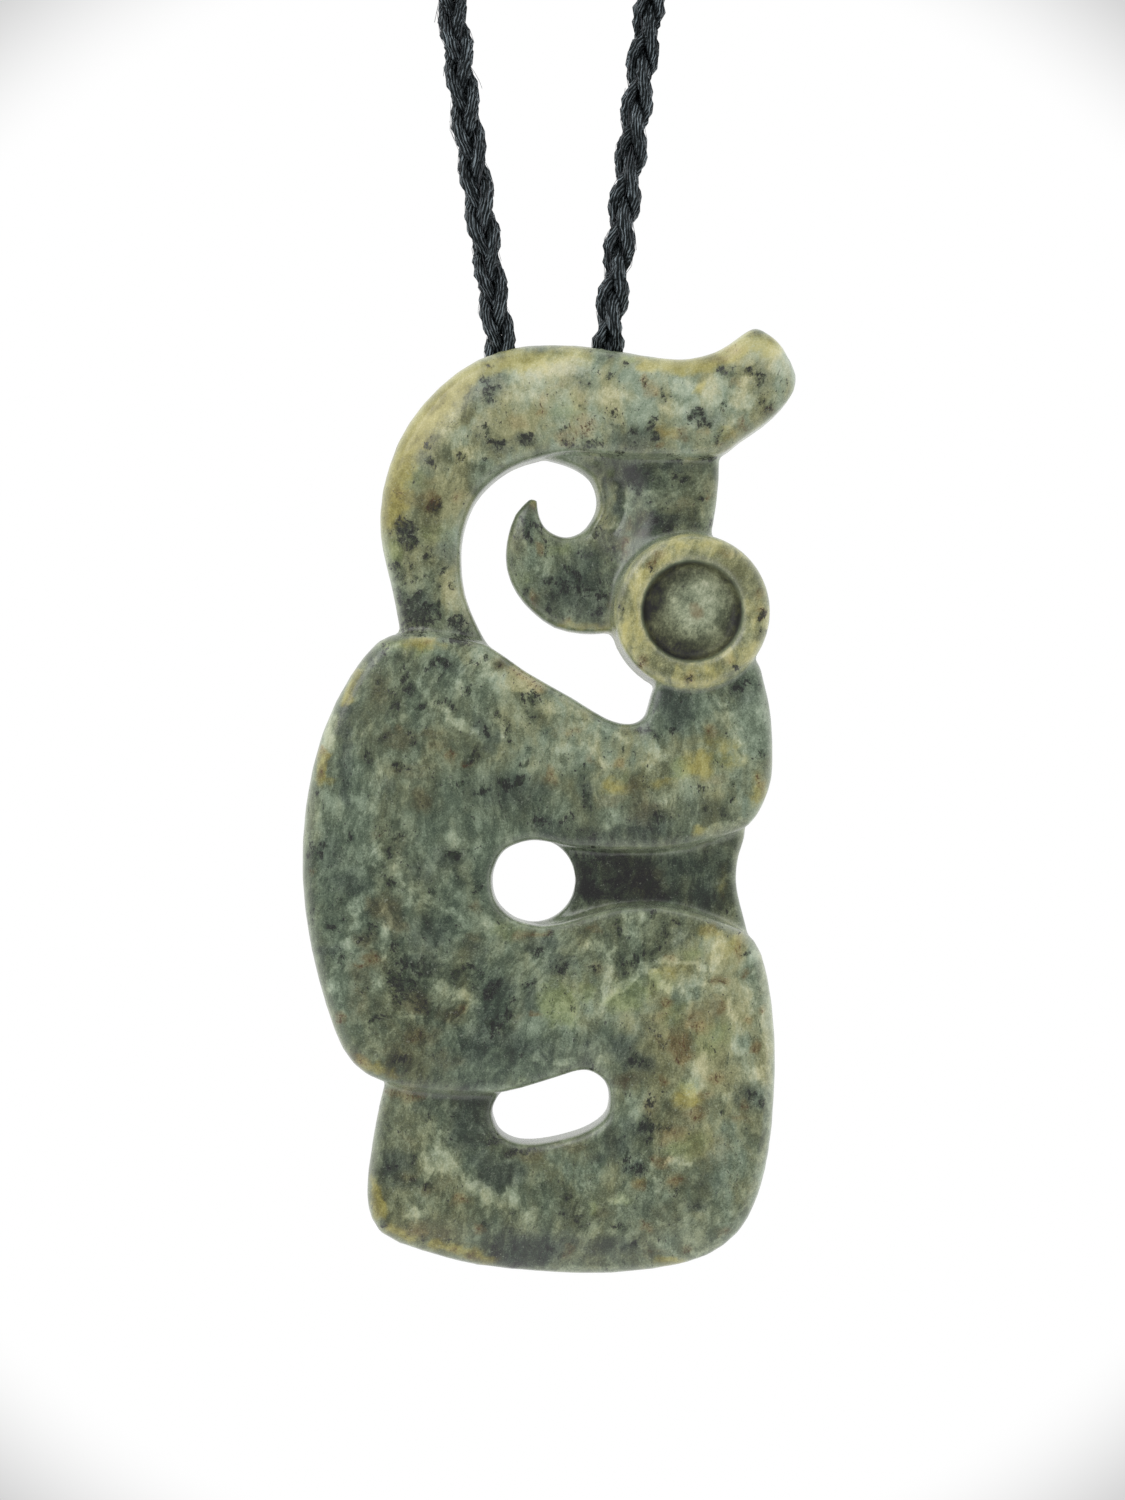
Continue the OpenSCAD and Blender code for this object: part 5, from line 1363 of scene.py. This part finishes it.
# %% Fibres and knot
fibre_grey, fibre_shader, _ = new_material("fibre_grey")
feed(fibre_shader, "Base Color", (0.07, 0.075, 0.085, 1))
feed(fibre_shader, "Roughness", 0.5)
fibres.data.materials.append(fibre_grey)

KNOT_STOPS = [(0.3, (0.006, 0.007, 0.009)), (0.8, (0.05, 0.055, 0.063))]
knot_thread, knot_shader, knot_start = new_material("knot_thread")
streaks = knot_start.add("TexCoord", output=3).stretched(along=(400, 1000, 1000)).noise(3.0, 4, 0.6)
feed(knot_shader, "Base Color", knot_start.add("ValToRGB", {"stops": KNOT_STOPS}, {0: streaks}))
feed(knot_shader, "Roughness", 0.55)
feed(knot_shader, "Normal", knot_start.add("Bump", {}, {
    "Strength": 0.6, "Distance": 0.00005, "Height": streaks}))
knot.data.materials.clear()
knot.data.materials.append(knot_thread)
print("finished:", fibre_grey.name, "and", knot_thread.name)

# %% [markdown]
# Each of the three main pieces takes the place of a solid, which stays in the model for collision but is
# hidden here. The fibres ride along with them.

# %% Pieces take their places
for piece, node, slot in (
        (stone, "carved_stone", "greenstone"), (plait, "neck_cord", "waxed_plait"),
        (knot, "closing_knot", "waxed_knot")):
    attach(piece, "root")
    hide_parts(node)
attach(fibres, "root")
print("pieces:", [piece.name for piece in (stone, plait, knot, fibres)])

# %% [markdown]
# The photograph was made in a white tent, and its corners were darkened afterwards. So the world is white
# all round behind the stone and greyer only well off the line of sight, and it is less bright on the
# camera's side, where the photographer and the opening of the tent are.

# %% World
world = bpy.data.worlds.new("white_tent")
world.use_nodes = True
bpy.context.scene.world = world
tree = world.node_tree
background = tree.nodes["Background"]
way = Wire(tree, background.outputs[0]).add("TexCoord", output=0)
backwards = way.add("SeparateXYZ", {}, {0: way}, output=1)
sides = backwards.step(-0.95, -0.25) - backwards.step(0.5, 0.92)
corner = backwards.step(0.978, 0.966) * backwards.step(0.9, 0.95)
brightness = 0.45 + 0.55 * backwards.step(-0.95, 0.0) + 0.4 * sides - 0.45 * corner
tree.links.new(brightness.socket, background.inputs["Strength"])
background.inputs["Color"].default_value = (1, 1, 1, 1)
bpy.context.scene.view_settings.view_transform = "Standard"
print("the tent is drawn with %d nodes" % len(tree.nodes))

# %% [markdown]
# One soft lamp from the upper left adds the gentle shading that a photographer's key light gives. It is a
# large square light that looks at the stone.

# %% Key light
KEY_PLACE = Vector((-0.45, -0.6, 0.1))
KEY_SIZE = 0.5
KEY_POWER = 2.0

key_data = bpy.data.lights.new("key", "AREA")
key_data.size = KEY_SIZE
key_data.energy = KEY_POWER
key = new_piece("key", key_data)
key.location = KEY_PLACE
key.rotation_euler = (picture_middle - KEY_PLACE).to_track_quat("-Z", "Y").to_euler()
print("the key light is %.2f m from the stone" % (picture_middle - KEY_PLACE).length)

# %% [markdown]
# The pendant hangs, so the floor is well below it: a round sheet of pale paper that fades out at its
# edge, so that no hard line shows in the other views.

# %% Floor
FLOOR_LEVEL = -0.56
FLOOR_WIDE = 0.55
bpy.ops.object.select_all(action="DESELECT")
bpy.ops.mesh.primitive_circle_add(
    vertices=96, radius=FLOOR_WIDE, location=(0, 0, FLOOR_LEVEL), fill_type="NGON")
floor = bpy.context.active_object
floor.name = "pale_floor"
pale_paper, paper_shader, paper_start = new_material("pale_paper")
feed(paper_shader, "Base Color", (0.85, 0.85, 0.85, 1))
feed(paper_shader, "Roughness", 0.7)
on_floor = paper_start.add("TexCoord", output=3)
from_middle = on_floor.add("VectorMath", {"operation": "LENGTH"}, {0: on_floor}, output=1)
feed(paper_shader, "Alpha", from_middle.step(FLOOR_WIDE, 0.5 * FLOOR_WIDE))
floor.data.materials.append(pale_paper)
print("the floor is %.2f m under the nape" % -FLOOR_LEVEL)

# %% [markdown]
